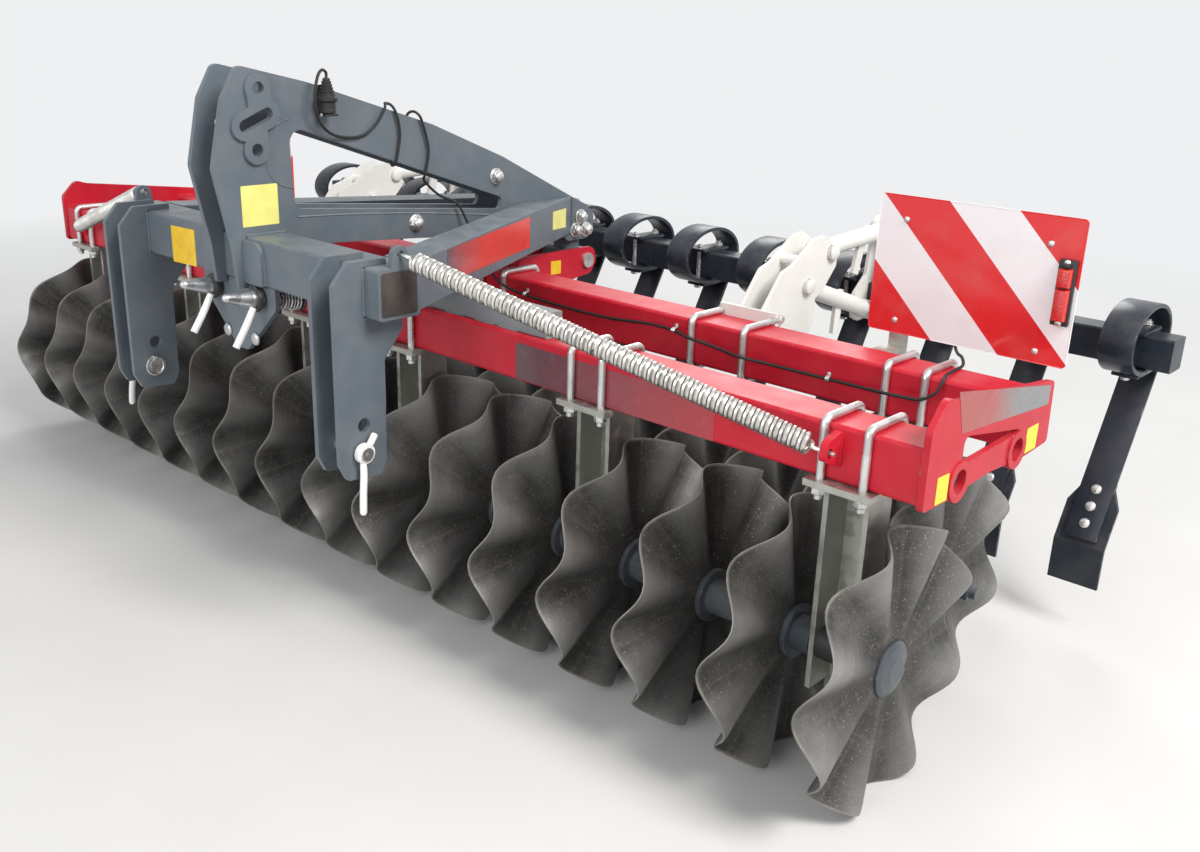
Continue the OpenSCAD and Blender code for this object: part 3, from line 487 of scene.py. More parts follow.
def panel_finish(name, near, far, axis, low, high, tones):
    """A bare plate's sprayed face, whose tone changes along one axis from the near to the far one; on the
    beam and arm panels this is painted shade at the dark end turning to painted light at the red end.
    """
    m = Finish(name, 0.3, coat_weight=0.3, coat_roughness=0.1)
    share = m.math("ADD", m.span(m.part(axis), low, high), m.span(m.noise(12, 4), 0.3, 0.7, -0.06, 0.06))
    tone = m.mix(m.span(share, near, far), *tones)
    m.put(m.mix(m.span(m.noise(45, 6, 0.7), 0.55, 0.75, 0, 0.14), tone, DUST), "Base Color")
    m.put(m.span(m.noise(30, 4), 0.3, 0.7, 0.26, 0.42), "Roughness")
    m.bump(m.noise(200, 2), 0.08, 0.0003)
    return m.material


def coil_steel():
    """Spring wire: drawn, plated and slightly yellowed, with patches of dirt."""
    m = Finish("coil_steel", 0.3, 0.9)
    tone = m.mix(m.span(m.noise(14, 5), 0.35, 0.7), (0.58, 0.57, 0.54), (0.72, 0.71, 0.68))
    m.put(m.mix(m.span(m.noise(30, 6, 0.7), 0.55, 0.75, 0, 0.4), tone, (0.42, 0.38, 0.29)), "Base Color")
    m.put(m.span(m.noise(40, 4), 0.3, 0.7, 0.24, 0.42), "Roughness")
    m.bump(m.noise(600, 2), 0.15, 0.0003)
    return m.material


def lens_finish():
    """Red lamp lens: deep colour with fine upright flutes."""
    m = Finish("lens", 0.12, coat_weight=0.6, coat_roughness=0.05)
    waves = m.node("ShaderNodeTexWave", {"Vector": m.place, "Scale": 90.0}, bands_direction="Z")
    flutes = waves.outputs["Fac"]
    m.put(m.mix(m.span(flutes, 0, 1, 0, 0.7), (0.45, 0.006, 0.008), (0.85, 0.05, 0.03)), "Base Color")
    m.bump(flutes, 0.35, 0.001)
    return m.material


def plain_plastic(name, colour, roughness):
    m = Finish(name, roughness)
    m.put(m.mix(m.span(m.noise(25, 5), 0.35, 0.7, 0, 0.5), colour, tint(colour, 1.8)), "Base Color")
    m.put(m.span(m.noise(60, 3), 0.3, 0.7, roughness - 0.08, roughness + 0.1), "Roughness")
    m.bump(m.noise(500, 2), 0.2, 0.0003, m.rounded(0.001))
    return m.material


def along_y(front, rear):
    """Where a panel begins and ends along Y, in metres."""
    return "Y", at(0, front, 0).y, at(0, rear, 0).y


# Paints: colour, roughness, dust, colour where worn and wear. Zinc: colour, roughness and spangle
RED = paint("red_paint", (0.54, 0.009, 0.028), 0.38, 0.12, (0.34, 0.30, 0.28), 0.8)
SLATE = paint("slate_paint", (0.125, 0.152, 0.178), 0.34, 0.26, (0.30, 0.29, 0.28), 0.5)
PALE_SLATE = paint("pale_slate_paint", (0.22, 0.235, 0.25), 0.38, 0.35, (0.40, 0.39, 0.38), 0.7)
BLACK = paint("black_paint", (0.021, 0.028, 0.041), 0.30, 0.16, (0.30, 0.29, 0.28), 0.9)
OFF_WHITE = paint("off_white_paint", (0.80, 0.80, 0.77), 0.36, 0.2, (0.40, 0.33, 0.26), 0.8)
BLUE_GREY = paint("blue_grey_paint", (0.062, 0.075, 0.090), 0.36, 0.30, (0.34, 0.33, 0.30), 0.9)
# Dark brown for the crossbeam ends: painted shade
END_SHADE_BROWN = paint("end_shade_brown", (0.052, 0.046, 0.044), 0.5, 0.35, (0.22, 0.15, 0.09), 0.8)
DARK_STEEL = paint("dark_steel", (0.030, 0.029, 0.030), 0.36, 0.30, (0.38, 0.36, 0.33), 1.0)
GALVANISED = zinc("galvanised", (0.50, 0.50, 0.46), 0.42)
BRIGHT_ZINC = zinc("bright_zinc", (0.78, 0.78, 0.77), 0.26, 140)
UBOLT_ZINC = zinc("ubolt_zinc", (0.74, 0.74, 0.74), 0.3, 30)
POLISHED = zinc("polished_steel", (0.60, 0.61, 0.63), 0.22, 50)
SPRING_WIRE = coil_steel()
SHAFT_STEEL = zinc("shaft_steel", (0.30, 0.28, 0.26), 0.40, 30)
BEARING_BLACK = plain_plastic("bearing_black", (0.02, 0.02, 0.022), 0.45)
RUBBER = plain_plastic("rubber", (0.012, 0.012, 0.013), 0.6)
WHITE_GRIP = plain_plastic("white_grip", (0.78, 0.78, 0.77), 0.4)
TAG_YELLOW = plain_plastic("tag_yellow", (0.80, 0.62, 0.03), 0.35)
TAG_PALE = plain_plastic("tag_pale", (0.80, 0.74, 0.20), 0.35)
TAG_AMBER = plain_plastic("tag_amber", (0.82, 0.47, 0.015), 0.35)
# The beam and arm panels' tones run from painted shade to painted light along the plate
BEAM_PANEL = panel_finish("beam_panel_face", 0.15, 0.95, "X", 0.567, 1.082,
                          ((0.115, 0.048, 0.062), (0.40, 0.030, 0.040)))
END_PANEL = panel_finish("end_panel_face", 0.35, 0.6, *along_y(72, 482),
                         ((0.36, 0.06, 0.055), (0.20, 0.20, 0.21)))
ARM_PANEL = panel_finish("arm_panel_face", 0.0, 0.42, *along_y(-48, 403),
                         ((0.12, 0.075, 0.09), (0.72, 0.035, 0.022)))
STRIPES = stripes_finish()
LENS = lens_finish()
DISC_FRONT = disc_finish("disc_steel_front", FRONT_AXLE_Y)
DISC_REAR = disc_finish("disc_steel_rear", REAR_AXLE_Y)

NODE_FINISH = {
    RED: ("beam_front", "beam_rear", "end_plate_left", "end_plate_right", "apex_ears", "spring_lugs"),
    PALE_SLATE: ("slide_bar",),
    SLATE: ("swivel", "crossbeam", "mast_plates", "hitch_eye_plates", "kingpin_housing", "diagonal_arms",
            "hitch_brackets", "front_plates", "plungers"),
    GALVANISED: ("arms_front", "arms_rear", "clamps_front", "clamps_rear", "board_stays"),
    UBOLT_ZINC: ("ubolts_front", "ubolts_rear", "mount_ubolts"),
    BRIGHT_ZINC: ("pitch_pin", "mount_pins", "hitch_pins", "plunger_springs", "centring_springs"),
    BEARING_BLACK: ("bearings_front", "bearings_rear"),
    OFF_WHITE: ("board_mounts", "lower_arms", "upper_arms", "board_brackets"),
    BLACK: ("board_tube", "tines", "paddles"),
    BLUE_GREY: ("spools_front", "spools_rear", "caps_front", "caps_rear"),
    SHAFT_STEEL: ("shaft_front", "shaft_rear"),
    RUBBER: ("plug", "cable_mast", "cable_frame"),
    WHITE_GRIP: ("pin_handles", "plunger_handles"),
    STRIPES: ("warning_boards",),
    LENS: ("lamps",),
    DISC_FRONT: ("discs_front",),
    DISC_REAR: ("discs_rear",),
}
for finish, nodes in NODE_FINISH.items():
    for node in nodes:
        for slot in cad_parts[node].material_slots:
            slot.material = finish


# Lighting cable, from its parked plug down the mast and along the rear beam to the right board

MAST_ROUTE = [
    (76, -94, 1165.8), (76, -94, 1176), (82, -108, 1182), (88, -124, 1168), (88, -132, 1130),
    (80, -120, 1080), (66, -80, 1048), (57, -30, 1036), (56, 15, 1040), (57, 50, 1064), (59, 70, 1092),
    (53, 78, 1103), (45, 84, 1106), (53, 96, 1101), (58, 106, 1080), (58, 114, 1040), (58, 108, 1000),
    (56, 102, 974), (45, 102, 966), (36, 104, 968), (31, 108, 982), (30, 130, 1020), (30, 150, 1058),
    (33, 157, 1078), (44, 163, 1085), (55, 170, 1080), (58, 180, 1062), (58, 198, 1000), (58, 190, 952),
    (54, 188, 938), (44, 196, 922), (44, 240, 886), (62, 282, 864), (75, 305, 815), (90, 328, 765),
    (94.6, 334.5, 740)]
FRAME_ROUTE = [
    (95, 335, 738), (112, 346, 702), (138, 351, 672), (200, 364, 654), (315, 370.6, 645),
    (482, 370.6, 645), (610, 370.6, 655), (690, 364, 656), (738, 352, 652), (790, 360, 645),
    (830, 360, 641), (876, 352, 638), (940, 366, 634), (1086, 370.6, 633), (1180, 360, 637),
    (1216, 352, 640), (1257, 350, 642), (1298, 352, 645), (1326, 358, 664), (1332, 368, 686),
    (1328, 392, 694), (1320, 440, 691.3), (1316, 480, 691.3), (1296, 516, 696), (1270, 550, 693),
    (1254, 570, 702), (1252, 566.5, 740)]


def make_cable(route):
    return tube([at(*point) for point in curve_through(route, 8)], mm(3.2))


fit_across(make_cable(MAST_ROUTE), "mast_cable", RUBBER, "cable_mast",
           (57, 190, 960))
fit_across(make_cable(FRAME_ROUTE), "beam_cable", RUBBER, "cable_frame",
           (400, 370, 645))


# Discs

def wave(radius, angle):
    """How far the disc's middle surface stands out there, in mm."""
    deep = WAVE_DEEP * max(0, radius - DISC_FLAT) / (DISC_RADIUS - DISC_FLAT)
    return deep * math.cos(WAVES * angle - math.pi)


def make_disc():
    """One wavy disc: a ring of edges drawn outwards, waved, given its thickness and a ground rim."""
    disc = start(bpy.ops.mesh.primitive_circle_add, vertices=128, radius=mm(DISC_FLAT),
                 rotation=(0, math.pi / 2, 0))
    edit()
    radius = DISC_FLAT
    for wider in (64, 84, 108, 134, 160, 186, 210, 232, 247, DISC_RADIUS):
        bpy.ops.mesh.extrude_region_move()
        bpy.ops.transform.resize(value=(1, wider / radius, wider / radius))
        radius = wider
    done(disc)
    for vertex in disc.data.vertices:
        reach = 1000 * math.hypot(vertex.co.y, vertex.co.z)
        vertex.co.x = mm(wave(reach, math.atan2(vertex.co.z, vertex.co.y)))
    modify(disc, "SOLIDIFY", thickness=mm(DISC_THICK), offset=0, use_quality_normals=True)
    for vertex in disc.data.vertices:
        reach, angle = 1000 * math.hypot(vertex.co.y, vertex.co.z), math.atan2(vertex.co.z, vertex.co.y)
        if reach > DISC_RADIUS - 3:
            crest, rim = mm(wave(DISC_RADIUS, angle)), mm(DISC_RADIUS - 0.1)
            vertex.co = (crest + (vertex.co.x - crest) * 0.4, rim * math.cos(angle), rim * math.sin(angle))
    return smooth(disc, 45)


for row, count, axle_y, finish in (
        ("front", 16, FRONT_AXLE_Y, DISC_FRONT), ("rear", 15, REAR_AXLE_Y, DISC_REAR)):
    middle = (count - 1) / 2
    axle_places = [Matrix.Translation(at((i - middle) * PITCH, axle_y, AXLE_Z)) for i in range(count)]
    fit(copies(make_disc(), axle_places), f"discs_of_{row}_gang", f"gang_{row}", "disc_steel", finish,
        f"discs_{row}")


# Springs

def coil_line(a, b, radius, turns, steps):
    """Points round the axis from a to b."""
    axis = (b - a).normalized()
    side = axis.cross(Vector((0, 0, 1))).normalized()
    over = axis.cross(side)
    line, count = [], turns * steps
    for k in range(count + 1):
        angle = math.tau * k / steps
        line.append(a.lerp(b, k / count) + radius * (side * math.cos(angle) + over * math.sin(angle)))
    return line


def centring_spring(side):
    """The spring's front and rear halves; both end in an open hook through its hole."""
    front, rear = on_side(SPRING_FRONT, side), on_side(SPRING_REAR, side)
    way = (rear - front).normalized()
    a, b = front + way * mm(40), rear - way * mm(32)
    half = a.lerp(b, 0.5)
    halves = []
    for tip, begin, out in ((front, a, side), (rear, b, -side)):
        coil = coil_line(begin, half, mm(16.1), 49, 24)
        back = (tip - begin).normalized()
        hook = [tip + Vector((mm(out * aside), 0, 0)) - back * mm(along)
                for aside, along in ((-16, 0), (4, 0), (13, 3), (15, 12), (8, 20))]
        lead = begin + mm(8) * (coil[0] - begin).normalized() + back * mm(5)
        halves.append(tube(curve_through(hook + [lead], 5)[:-1] + coil, mm(3.85), 8))
    return halves


def fit_springs():
    """All front halves, which hook onto the headstock, make one piece and all rear halves, which hook onto
    the frame, another, and they meet halfway.
    """
    fronts, rears = zip(*(centring_spring(side) for side in SIDES))
    for name, halves, body, tip in (("springs_front_half", fronts, "headstock", SPRING_FRONT),
                                    ("springs_rear_half", rears, "frame", SPRING_REAR)):
        fit_across(join(halves), name, SPRING_WIRE, "centring_springs",
                   (0, *tip[1:]))


fit_springs()

PLUNGER_PLACES = [Matrix.Translation(on_side(PLUNGER_FOOT, side)) @ Matrix.Rotation(PLUNGER_TILT, 4, "X")
                  for side in SIDES]


def fit_plunger_springs():
    coils = []
    for plunger in PLUNGER_PLACES:
        rear, front = (plunger @ Vector((0, 0, mm(along))) for along in (-99, -30.5))
        coils.append(tube(coil_line(rear, front, mm(18), 9, 16), mm(2.4), 8))
    fit(join(coils), "plunger_coils", "headstock", "spring", BRIGHT_ZINC, "plunger_springs")


fit_plunger_springs()


# Tines

def make_tine():
    """One tine: a sheet spun round the loop, pressed to an oval, drawn down as the leg and thickened."""
    flat = 50
    middle, foot = at(0, LOOP_Y, LOOP_Z), at(0, LOOP_Y + flat / 2, LOOP_Z - LOOP_LONG)
    tine = start(bpy.ops.mesh.primitive_plane_add, size=1, location=foot)
    edit()
    bpy.ops.transform.resize(value=(mm(TINE_WIDE), mm(flat), 1), center_override=foot)
    pick("EDGE", lambda edge: all(abs(v.co.y - middle.y) < 1e-5 for v in edge.verts))
    bpy.ops.mesh.spin(steps=64, angle=math.radians(270) - LOOP_END, center=middle, axis=(1, 0, 0))
    bpy.ops.mesh.select_all(action="SELECT")
    bpy.ops.transform.resize(value=(1, 1, LOOP_HIGH / LOOP_LONG), center_override=middle)
    top = at(0, LEG_TOP_Y, LEG_TOP_Z)
    pick("EDGE", lambda edge: all(math.hypot(v.co.y - top.y, v.co.z - top.z) < 1e-4 for v in edge.verts))
    extrude(DOWN_LEG * mm(LEG_LONG))
    bpy.ops.mesh.select_all(action="SELECT")
    bpy.ops.mesh.remove_doubles(threshold=0.00001)
    face_outwards(tine)
    modify(tine, "SOLIDIFY", thickness=mm(TINE_THICK), offset=0, use_even_offset=True)
    modify(tine, "BEVEL", width=mm(1.8), segments=2, limit_method="ANGLE", angle_limit=math.radians(50))
    return smooth(tine, 40)


TINE_PLACES = [Matrix.Translation((mm(x), 0, 0)) for x in TINE_X]
fit(copies(make_tine(), TINE_PLACES), "spring_tines", "board", "black", BLACK, "tines")


# Bolts and nuts, with their own Z out of the face they sit on

def hexagon(radius, depth, low):
    """A nut's or head's body, its corners chamfered above and below."""
    top = low + depth
    outline = [(radius * 0.93, low), (radius, low + 1.2), (radius, top - 1.4), (radius * 0.9, top)]
    return turned(outline, 6, 20)


def make_nut():
    """A washer, a chamfered hexagon and the thread that stands out of it."""
    washer = turned([(15, 0), (15.4, 0.6), (15.4, 2), (14.8, 2.6)], 20)
    thread = [(7.4, 0)] + [(7.4 if z % 2 else 6.9, z) for z in range(13, 22)] + [(6.6, 22.4)]
    return join([washer, hexagon(13, 11.5, 2.6), turned(thread, 10, 60)])


def make_bolt():
    """A washer and a hexagonal head with a crowned top."""
    washer = turned([(15.5, 0), (15.9, 0.6), (15.9, 2.2), (15.1, 2.8)], 22)
    crown = turned([(9.36, 10), (9.12, 11.2), (6, 11.9)], 16)
    return join([washer, hexagon(12, 8, 2.8), crown])


def make_dome(radius, height):
    """A round crowned head."""
    crown = ((0.97, 0.35), (0.84, 0.66), (0.6, 0.87), (0.3, 0.98), (0.08, 1))
    return turned([(radius * 0.96, 0), (radius, 0.8)] + [(radius * r, height * h) for r, h in crown], 20, 60)


def make_capped_nut():
    """A big washer under a nut with a domed cap."""
    washer = turned([(20, 0), (20.5, 0.7), (20.5, 2.8), (19.6, 3.4)], 26)
    cap = turned([(14, 12), (13.8, 15), (12.4, 18), (9.6, 20.6), (5.4, 22.2), (1.2, 22.8)], 20, 60)
    return join([washer, hexagon(17, 9, 3.4), cap])


def fit_bolts(name, body, source, places, material=BRIGHT_ZINC):
    """Copies of one bolt, nut or screw, all on one body."""
    fit(copies(source, places), name, body, "galvanised", material)


def ubolt_ends(arms, beam_y):
    """Under each arm's clamp, the ends of its two U-bolts in front of the beam and behind it."""
    return [place(at(n * PITCH + aside, y, BEAM_LOW - 12), (0, 0, -1), n + aside)
            for n in arms for aside in (-41, 41) for y in (beam_y - 7.7, beam_y + BEAM_SIDE + 7.7)]


fit_bolts("clamp_nuts", "frame", make_nut(), ubolt_ends(FRONT_ARMS, 0) + ubolt_ends(REAR_ARMS, REAR_BEAM_Y))
fit_bolts("mount_nuts", "frame", make_nut(), [
    place(at(side * LINK_X + aside, 485, z), (0, 1, 0), aside)
    for side in SIDES for aside in (-69, 69) for z in (579.3, 694.7)])
fit_bolts("bearing_bolts", "frame", make_bolt(), [
    place(at(n * PITCH + out * 44, y, AXLE_Z + above), (out, 0, 0), above)
    for arms, y in ((FRONT_ARMS, FRONT_AXLE_Y), (REAR_ARMS, REAR_AXLE_Y)) for n in arms
    for out in (-1, 1) for above in (52, -52)])
fit_bolts("mast_bolts", "headstock", make_capped_nut(), [
    place(at(side * 50, y, z), (side, 0, 0), y)
    for side in SIDES for y, z in ((161, 828), (420, 919), (735, 787), (716, 752), (757, 750))])
fit_bolts("plate_bolts", "headstock", make_dome(15, 8),
          [place(at(x, -290, 622), (0, -1, 0)) for x in (-55, 55)], POLISHED)


def leg_places(out, side):
    """The paddle bolts' places, out of the leg's middle and facing forwards (1) or back (-1)."""
    facing = Vector((0, -math.cos(LEAN), math.sin(LEAN)))
    top = at(0, LEG_TOP_Y, LEG_TOP_Z) + facing * mm(out)
    return [place(top + Vector((mm(x), 0, 0)) + DOWN_LEG * mm(along), facing * side, along)
            for x in TINE_X for along in PADDLE_BOLTS]


fit_bolts("paddle_bolts", "board", make_dome(12, 6.5), leg_places(5, 1))
fit_bolts("paddle_nuts", "board", make_nut(), leg_places(-13, -1), GALVANISED)


# Clamps that hold the tines to the tube, and the pins' heads at the board's links

def make_clamp():
    """A plate on the tube, one under the strip and a narrow one beside it."""
    strip_low = LOOP_Z - LOOP_HIGH - TINE_THICK / 2
    plates = [block(at(-29, TUBE_Y - 18, low), at(29, TUBE_Y + TUBE_SIDE + 18, low + 8), 2)
              for low in (TUBE_TOP, strip_low - 8)]
    side = block(at(29.5, TUBE_Y + 6, TUBE_LOW - 12), at(37, TUBE_Y + TUBE_SIDE + 14, TUBE_LOW - 1), 1)
    return join(plates + [side])


def make_clamp_bolts():
    """The clamp's two bolts, with a nut above and below."""
    pairs = []
    for y in (TUBE_Y - 7.5, TUBE_Y + TUBE_SIDE + 7.5):
        rod = turned([(6, 579), (6, TUBE_TOP + 20), (5, TUBE_TOP + 21)], 12)
        nuts = [hexagon(10.5, 9, TUBE_TOP + 8), hexagon(10.5, 7, 580)]
        washer = turned([(13, TUBE_TOP + 8), (13, TUBE_TOP + 9.6)], 16)
        pair = join([rod, *nuts, washer])
        pair.data.transform(Matrix.Translation(at(0, y, 0)))
        pairs.append(pair)
    return join(pairs)


fit(copies(make_clamp(), TINE_PLACES), "tine_clamps", "board", "black", BLACK)
fit_bolts("clamp_bolts", "board", make_clamp_bolts(), TINE_PLACES)
for name, body, pins in (("mount_pin_domes", "frame", MOUNT_PINS), ("board_pin_domes", "board", BOARD_PINS)):
    pin_ends = [place(at(LINK_X + side * 43, y, z), (side, 0, 0)) for side in SIDES for y, z in pins]
    fit(copies(make_dome(18.5, 6), on_both_sides(pin_ends)), name, body, "off_white", OFF_WHITE)


# Plungers, pins and their handles

def fit_plungers():
    """The dark barrel with its collar, and the bright cone that centres the linkage."""
    barrel = [(21.4, -108), (22, -107.4), (22, -103), (21, -102), (14, -102), (14, 0), (25.6, 0), (27, 1.6),
              (27, 12), (25.4, 14), (20.2, 14.6)]
    cone = [(19.6, 14), (19.6, 21), (19, 22), (19, 26), (9.6, 73), (9.6, 75), (8.8, 77), (8.2, 80),
            (6.2, 83), (3.2, 85), (0.6, 85.6)]
    for outline, name, slot, material in ((barrel, "plunger_barrels", "slate", DARK_STEEL),
                                          (cone, "plunger_cones", "galvanised", POLISHED)):
        fit(copies(turned(outline, 32), PLUNGER_PLACES), name, "headstock", slot, material, "plungers")


fit_plungers()


def grip(points, steps):
    """A pin's grip: slimmer at the root, full along the hand's part, rounded at its tip."""
    line = curve_through(points, steps)
    count = len(line)

    def swell(k):
        return 0.7 if k == count - 1 else 0.82 + 0.18 * min(1, 2.2 * k / count)

    return tube(line, mm(7.4), 16, swell)


def fit_handles():
    """Pin handles with their collar and kink, and the plungers' short handles, which bend the same way."""
    hanging, short = [], []
    below = (HITCH_PIN, (467, -319, 458), (470.5, -321.5, 432), (474, -327, 392), (476, -330, 352))
    above = (HITCH_PIN, (466, -300, 494), (466, -288, 512))
    bent = ((18, -320.6, 704.2), (20, -342, 668), (22, -370, 627))
    crosswise = Matrix.Rotation(math.pi / 2, 4, "Y")
    for side in SIDES:
        collar = turned([(19.6, -7), (21, -5.6), (21, 5.6), (19.6, 7)], 28)
        collar.data.transform(Matrix.Translation(on_side(HITCH_PIN, side)) @ crosswise)
        down = grip([on_side(point, side) for point in below], 6)
        up = grip([on_side(point, side) for point in above], 5)
        hanging += [collar, down, up]
        way = curve_through([at(side * PLUNGER_FOOT[0] + x, y, z) for x, y, z in bent], 7)
        short.append(tube(way, mm(8.2), 16, lambda k, count=len(way): 0.86 + 0.14 * min(1, 2.5 * k / count)))
    fit(join(hanging), "pin_grips", "headstock", "board_paint", WHITE_GRIP, "pin_handles")
    fit(join(short), "plunger_grips", "headstock", "board_paint", WHITE_GRIP, "plunger_handles")


fit_handles()


def fit_linch_pins():
    """A linch pin with its wire ring through the end of each hitch pin."""
    pieces, ring, tilt = [], 21, Matrix.Rotation(0.35, 4, "X")
    for side in SIDES:
        x = side * 361
        stem = turned([(4, -24), (4.4, -22), (4.4, 22), (3, 25)], 14)
        stem.data.transform(Matrix.Translation(at(x, HITCH_PIN_Y, HITCH_PIN_Z)) @ tilt)
        wire = []
        for k in range(41):
            a = math.tau * k / 40
            wire.append(at(x - side * (4 + 9 * math.sin(a / 2)), HITCH_PIN_Y - 8 - ring * math.sin(a),
                           HITCH_PIN_Z + ring * math.cos(a)))
        pieces += [stem, tube(wire, mm(1.8), 8)]
    fit(join(pieces), "linch_pins", "headstock", "galvanised", BRIGHT_ZINC)


fit_linch_pins()


def fit_plug():
    """The parked plug: a ribbed sleeve in its holder, with a lid at its foot."""
    sleeve = [(16, -31), (18.5, -30), (18.5, -24), (17.6, -23), (17.6, -8), (21, -7), (22.4, -5.5),
              (22.4, 1), (21, 2.5), (18, 3), (17.4, 6)]
    for rib in range(5):
        wide, z = 17.4 - 1.7 * rib, 6.0 + 6.2 * rib
        sleeve += [(wide, z + 0.4), (wide, z + 3.4), (wide - 2.6, z + 4.0), (wide - 2.6, z + 6.0)]
    sleeve += [(8.2, 38), (7, 41), (4.5, 41.4)]
    body = turned(sleeve, 32)
    body.data.transform(Matrix.Translation(at(76, -94, 1124)))
    holder = block(at(50, -104, 1090), at(58, -84, 1150), 1.5)
    lid = block(at(60, -110, 1087), at(93, -78, 1091.5), 1.4)
    fit(join([body, holder, lid]), "parked_plug", "headstock", "cable", RUBBER, "plug")
    screws = [place(at(58, -94, z), (1, 0, 0)) for z in (1095, 1097)]
    screws.append(place(at(76, -110, 1089), (0, -1, 0)))
    fit_bolts("plug_screws", "headstock", make_dome(4.5, 2.4), screws)


fit_plug()


# Cable clips, weld beads and folds

def fit_clips():
    """Saddles over the cable on the rear beam's front face."""
    pieces = []
    for x, z, deep in ((217, 652.8, 14.2), (690, 656, 15.2), (1086, 633, 8.6)):
        for aside in (-3.6, -1.2, 1.2, 3.6):
            arch = [at(x + aside, 374.6 - deep * max(0.0, math.cos(k * math.pi / 16)) ** 0.5, z + 0.75 * k)
                    for k in range(-8, 9)]
            pieces.append(tube(arch, mm(1.3), 8))
        pieces.append(block(at(x - 4.5, 373.4, z + 5.4), at(x + 4.5, 375, z + 13.5), 0.4))
        pieces.append(copies(make_dome(3, 1.8), [place(at(x, 373.4, z + 9.6), (0, -1, 0))]))
    fit(join(pieces), "cable_clips", "frame", "galvanised", BRIGHT_ZINC)


fit_clips()


def weld(a, b, radius):
    """A rippled bead from a to b, in metres."""
    count = max(4, int((b - a).length / mm(2.6)))
    line = [a.lerp(b, k / count) for k in range(count + 1)]
    return tube(line, mm(radius), 8, lambda k: 0.86 + 0.16 * math.sin(k * 2.3) + 0.05 * math.sin(k * 0.9))


def upright(x, y, low, high):
    return (x, y, low), (x, y, high)


def lengthways(x, z, front, rear):
    return (x, front, z), (x, rear, z)


def fit_welds(name, body, slot, material, radius, runs):
    """Beads along the runs, on both sides of the machine."""
    beads = [weld(on_side(a, side), on_side(b, side), radius) for a, b in runs for side in SIDES]
    fit(join(beads), name, body, slot, material)


fit_welds("headstock_welds", "headstock", "slate", SLATE, 3.2, [
    lengthways(50, 846, -294, -197), upright(481, -194, 748, 842), upright(389, -194, 748, 842),
    ((51, 515, 846), (51, 516, 748)), upright(51, 701, 748, 842), lengthways(371, 744, -294, -206),
    lengthways(455, 744, -294, -206), upright(371, -296, 750, 842), upright(455, -296, 750, 842),
    upright(51, -206, 748, 800), lengthways(494, 846, -220, -260), upright(117, -296, 750, 812)])
fit_welds("frame_welds", "frame", "red", RED, 3.4, [
    upright(78, 477, 596, 704), upright(66, 477, 596, 704), upright(LUG_X - 7, -1, 616, 676),
    upright(LUG_X + 7, -1, 616, 676), lengthways(1487, 688, 4, 96), lengthways(1487, 688, 379, 471),
    *(upright(1487, y, 592, 682) for y in (-1, 476, 101, 374))])
fit_welds("slide_bar_welds", "frame", "slate", PALE_SLATE, 3.0, [
    *(((x, 12, 688), (x + 58, 12, 688)) for x in (60, 230, 330, 430, 500)), lengthways(640, 688, 14, 58)])
fit_welds("mount_welds", "frame", "off_white", OFF_WHITE, 3.0,
          [upright(LINK_X + aside, 487, 596, 700) for aside in (-34, -24, 24, 34)])


def fit_mast_line(name, material, x, radius, steps, points):
    """A smooth line along the outer faces of both mast plates."""
    lines = [curve_through([at(side * x, y, z) for y, z in points], steps) for side in SIDES]
    fit(join([tube(line, mm(radius), 8) for line in lines]), name, "headstock", "slate", material)


# The curved seam where the mast's front piece meets its cheek, and a pale strip along the edge of the folded
# lower chord, a painted highlight where light catches the fold
fit_mast_line("mast_seams", SLATE, 50, 1.9, 8, (
    (-172, 1082), (-206, 1070), (-228, 1036), (-236, 1000), (-228, 968), (-204, 946), (-172, 936)))
fit_mast_line("mast_fold_highlights", PALE_SLATE, 50.2, 1.8, 6, (
    (-166, 874), (-20, 866), (150, 852), (300, 836), (430, 820)))


# Warning boards and their lamps

def make_board():
    """A sheet with round corners and a raised edge round the film."""
    low, high = at(1060, 556, 705), at(1483, 560, 988)
    board = cuboid(low, high)
    edit()
    pick("EDGE", lambda edge: abs(edge.verts[0].co.y - edge.verts[1].co.y) > mm(3))
    bpy.ops.mesh.bevel(offset=mm(9), segments=5, affect="EDGES")
    pick("FACE", lambda face: all(v.co.y < low.y + 1e-6 for v in face.verts))
    bpy.ops.mesh.inset(thickness=mm(2.2))
    bpy.ops.transform.translate(value=(0, mm(0.5), 0))
    return done(board)


def make_lamp():
    """The lamp's dark base, and its lens in two parts that are drawn in towards their face."""
    base = block(at(1443, 547, 787), at(1477, 556, 912), 2.4, 3)
    ridge = block(at(1452, 537, 898), at(1468, 548, 906), 1.5)
    face_y = at(0, 536, 0).y
    lenses = []
    for low, high in ((796, 858), (860, 896)):
        lens = cuboid(at(1446.5, 533, low), at(1473.5, 547, high))
        edit()
        pick("FACE", lambda face: all(v.co.y < face_y for v in face.verts))
        bpy.ops.transform.resize(value=(0.82, 1, 0.93), center_override=at(1460, 532, (low + high) / 2))
        bpy.ops.mesh.select_all(action="SELECT")
        bpy.ops.mesh.bevel(offset=mm(2), segments=3, affect="EDGES")
        lenses.append(smooth(done(lens), 40))
    return join([base, ridge]), join(lenses)


striped_board = make_board()
lamp_base, lamp_lens = make_lamp()
for piece, name, slot, material, node in (
        (striped_board, "striped_boards", "board_paint", STRIPES, "warning_boards"),
        (lamp_base, "lamp_bases", "black", BEARING_BLACK, "lamps"),
        (lamp_lens, "lamp_lenses", "lamp", LENS, "lamps")):
    fit(join([piece, mirror_copy(piece)]), name, "frame", slot, material, node)
fit_bolts("board_screws", "frame", make_dome(6.5, 3), [
    place(on_side(point, side), (0, -1, 0)) for side in SIDES
    for point in ((1122, 556.5, 940), (1420, 556.5, 935), (1121, 556.5, 732), (1421, 556.5, 728),
                  (1460, 546, 906), (1460, 546, 793))])


# Bare panels and tags

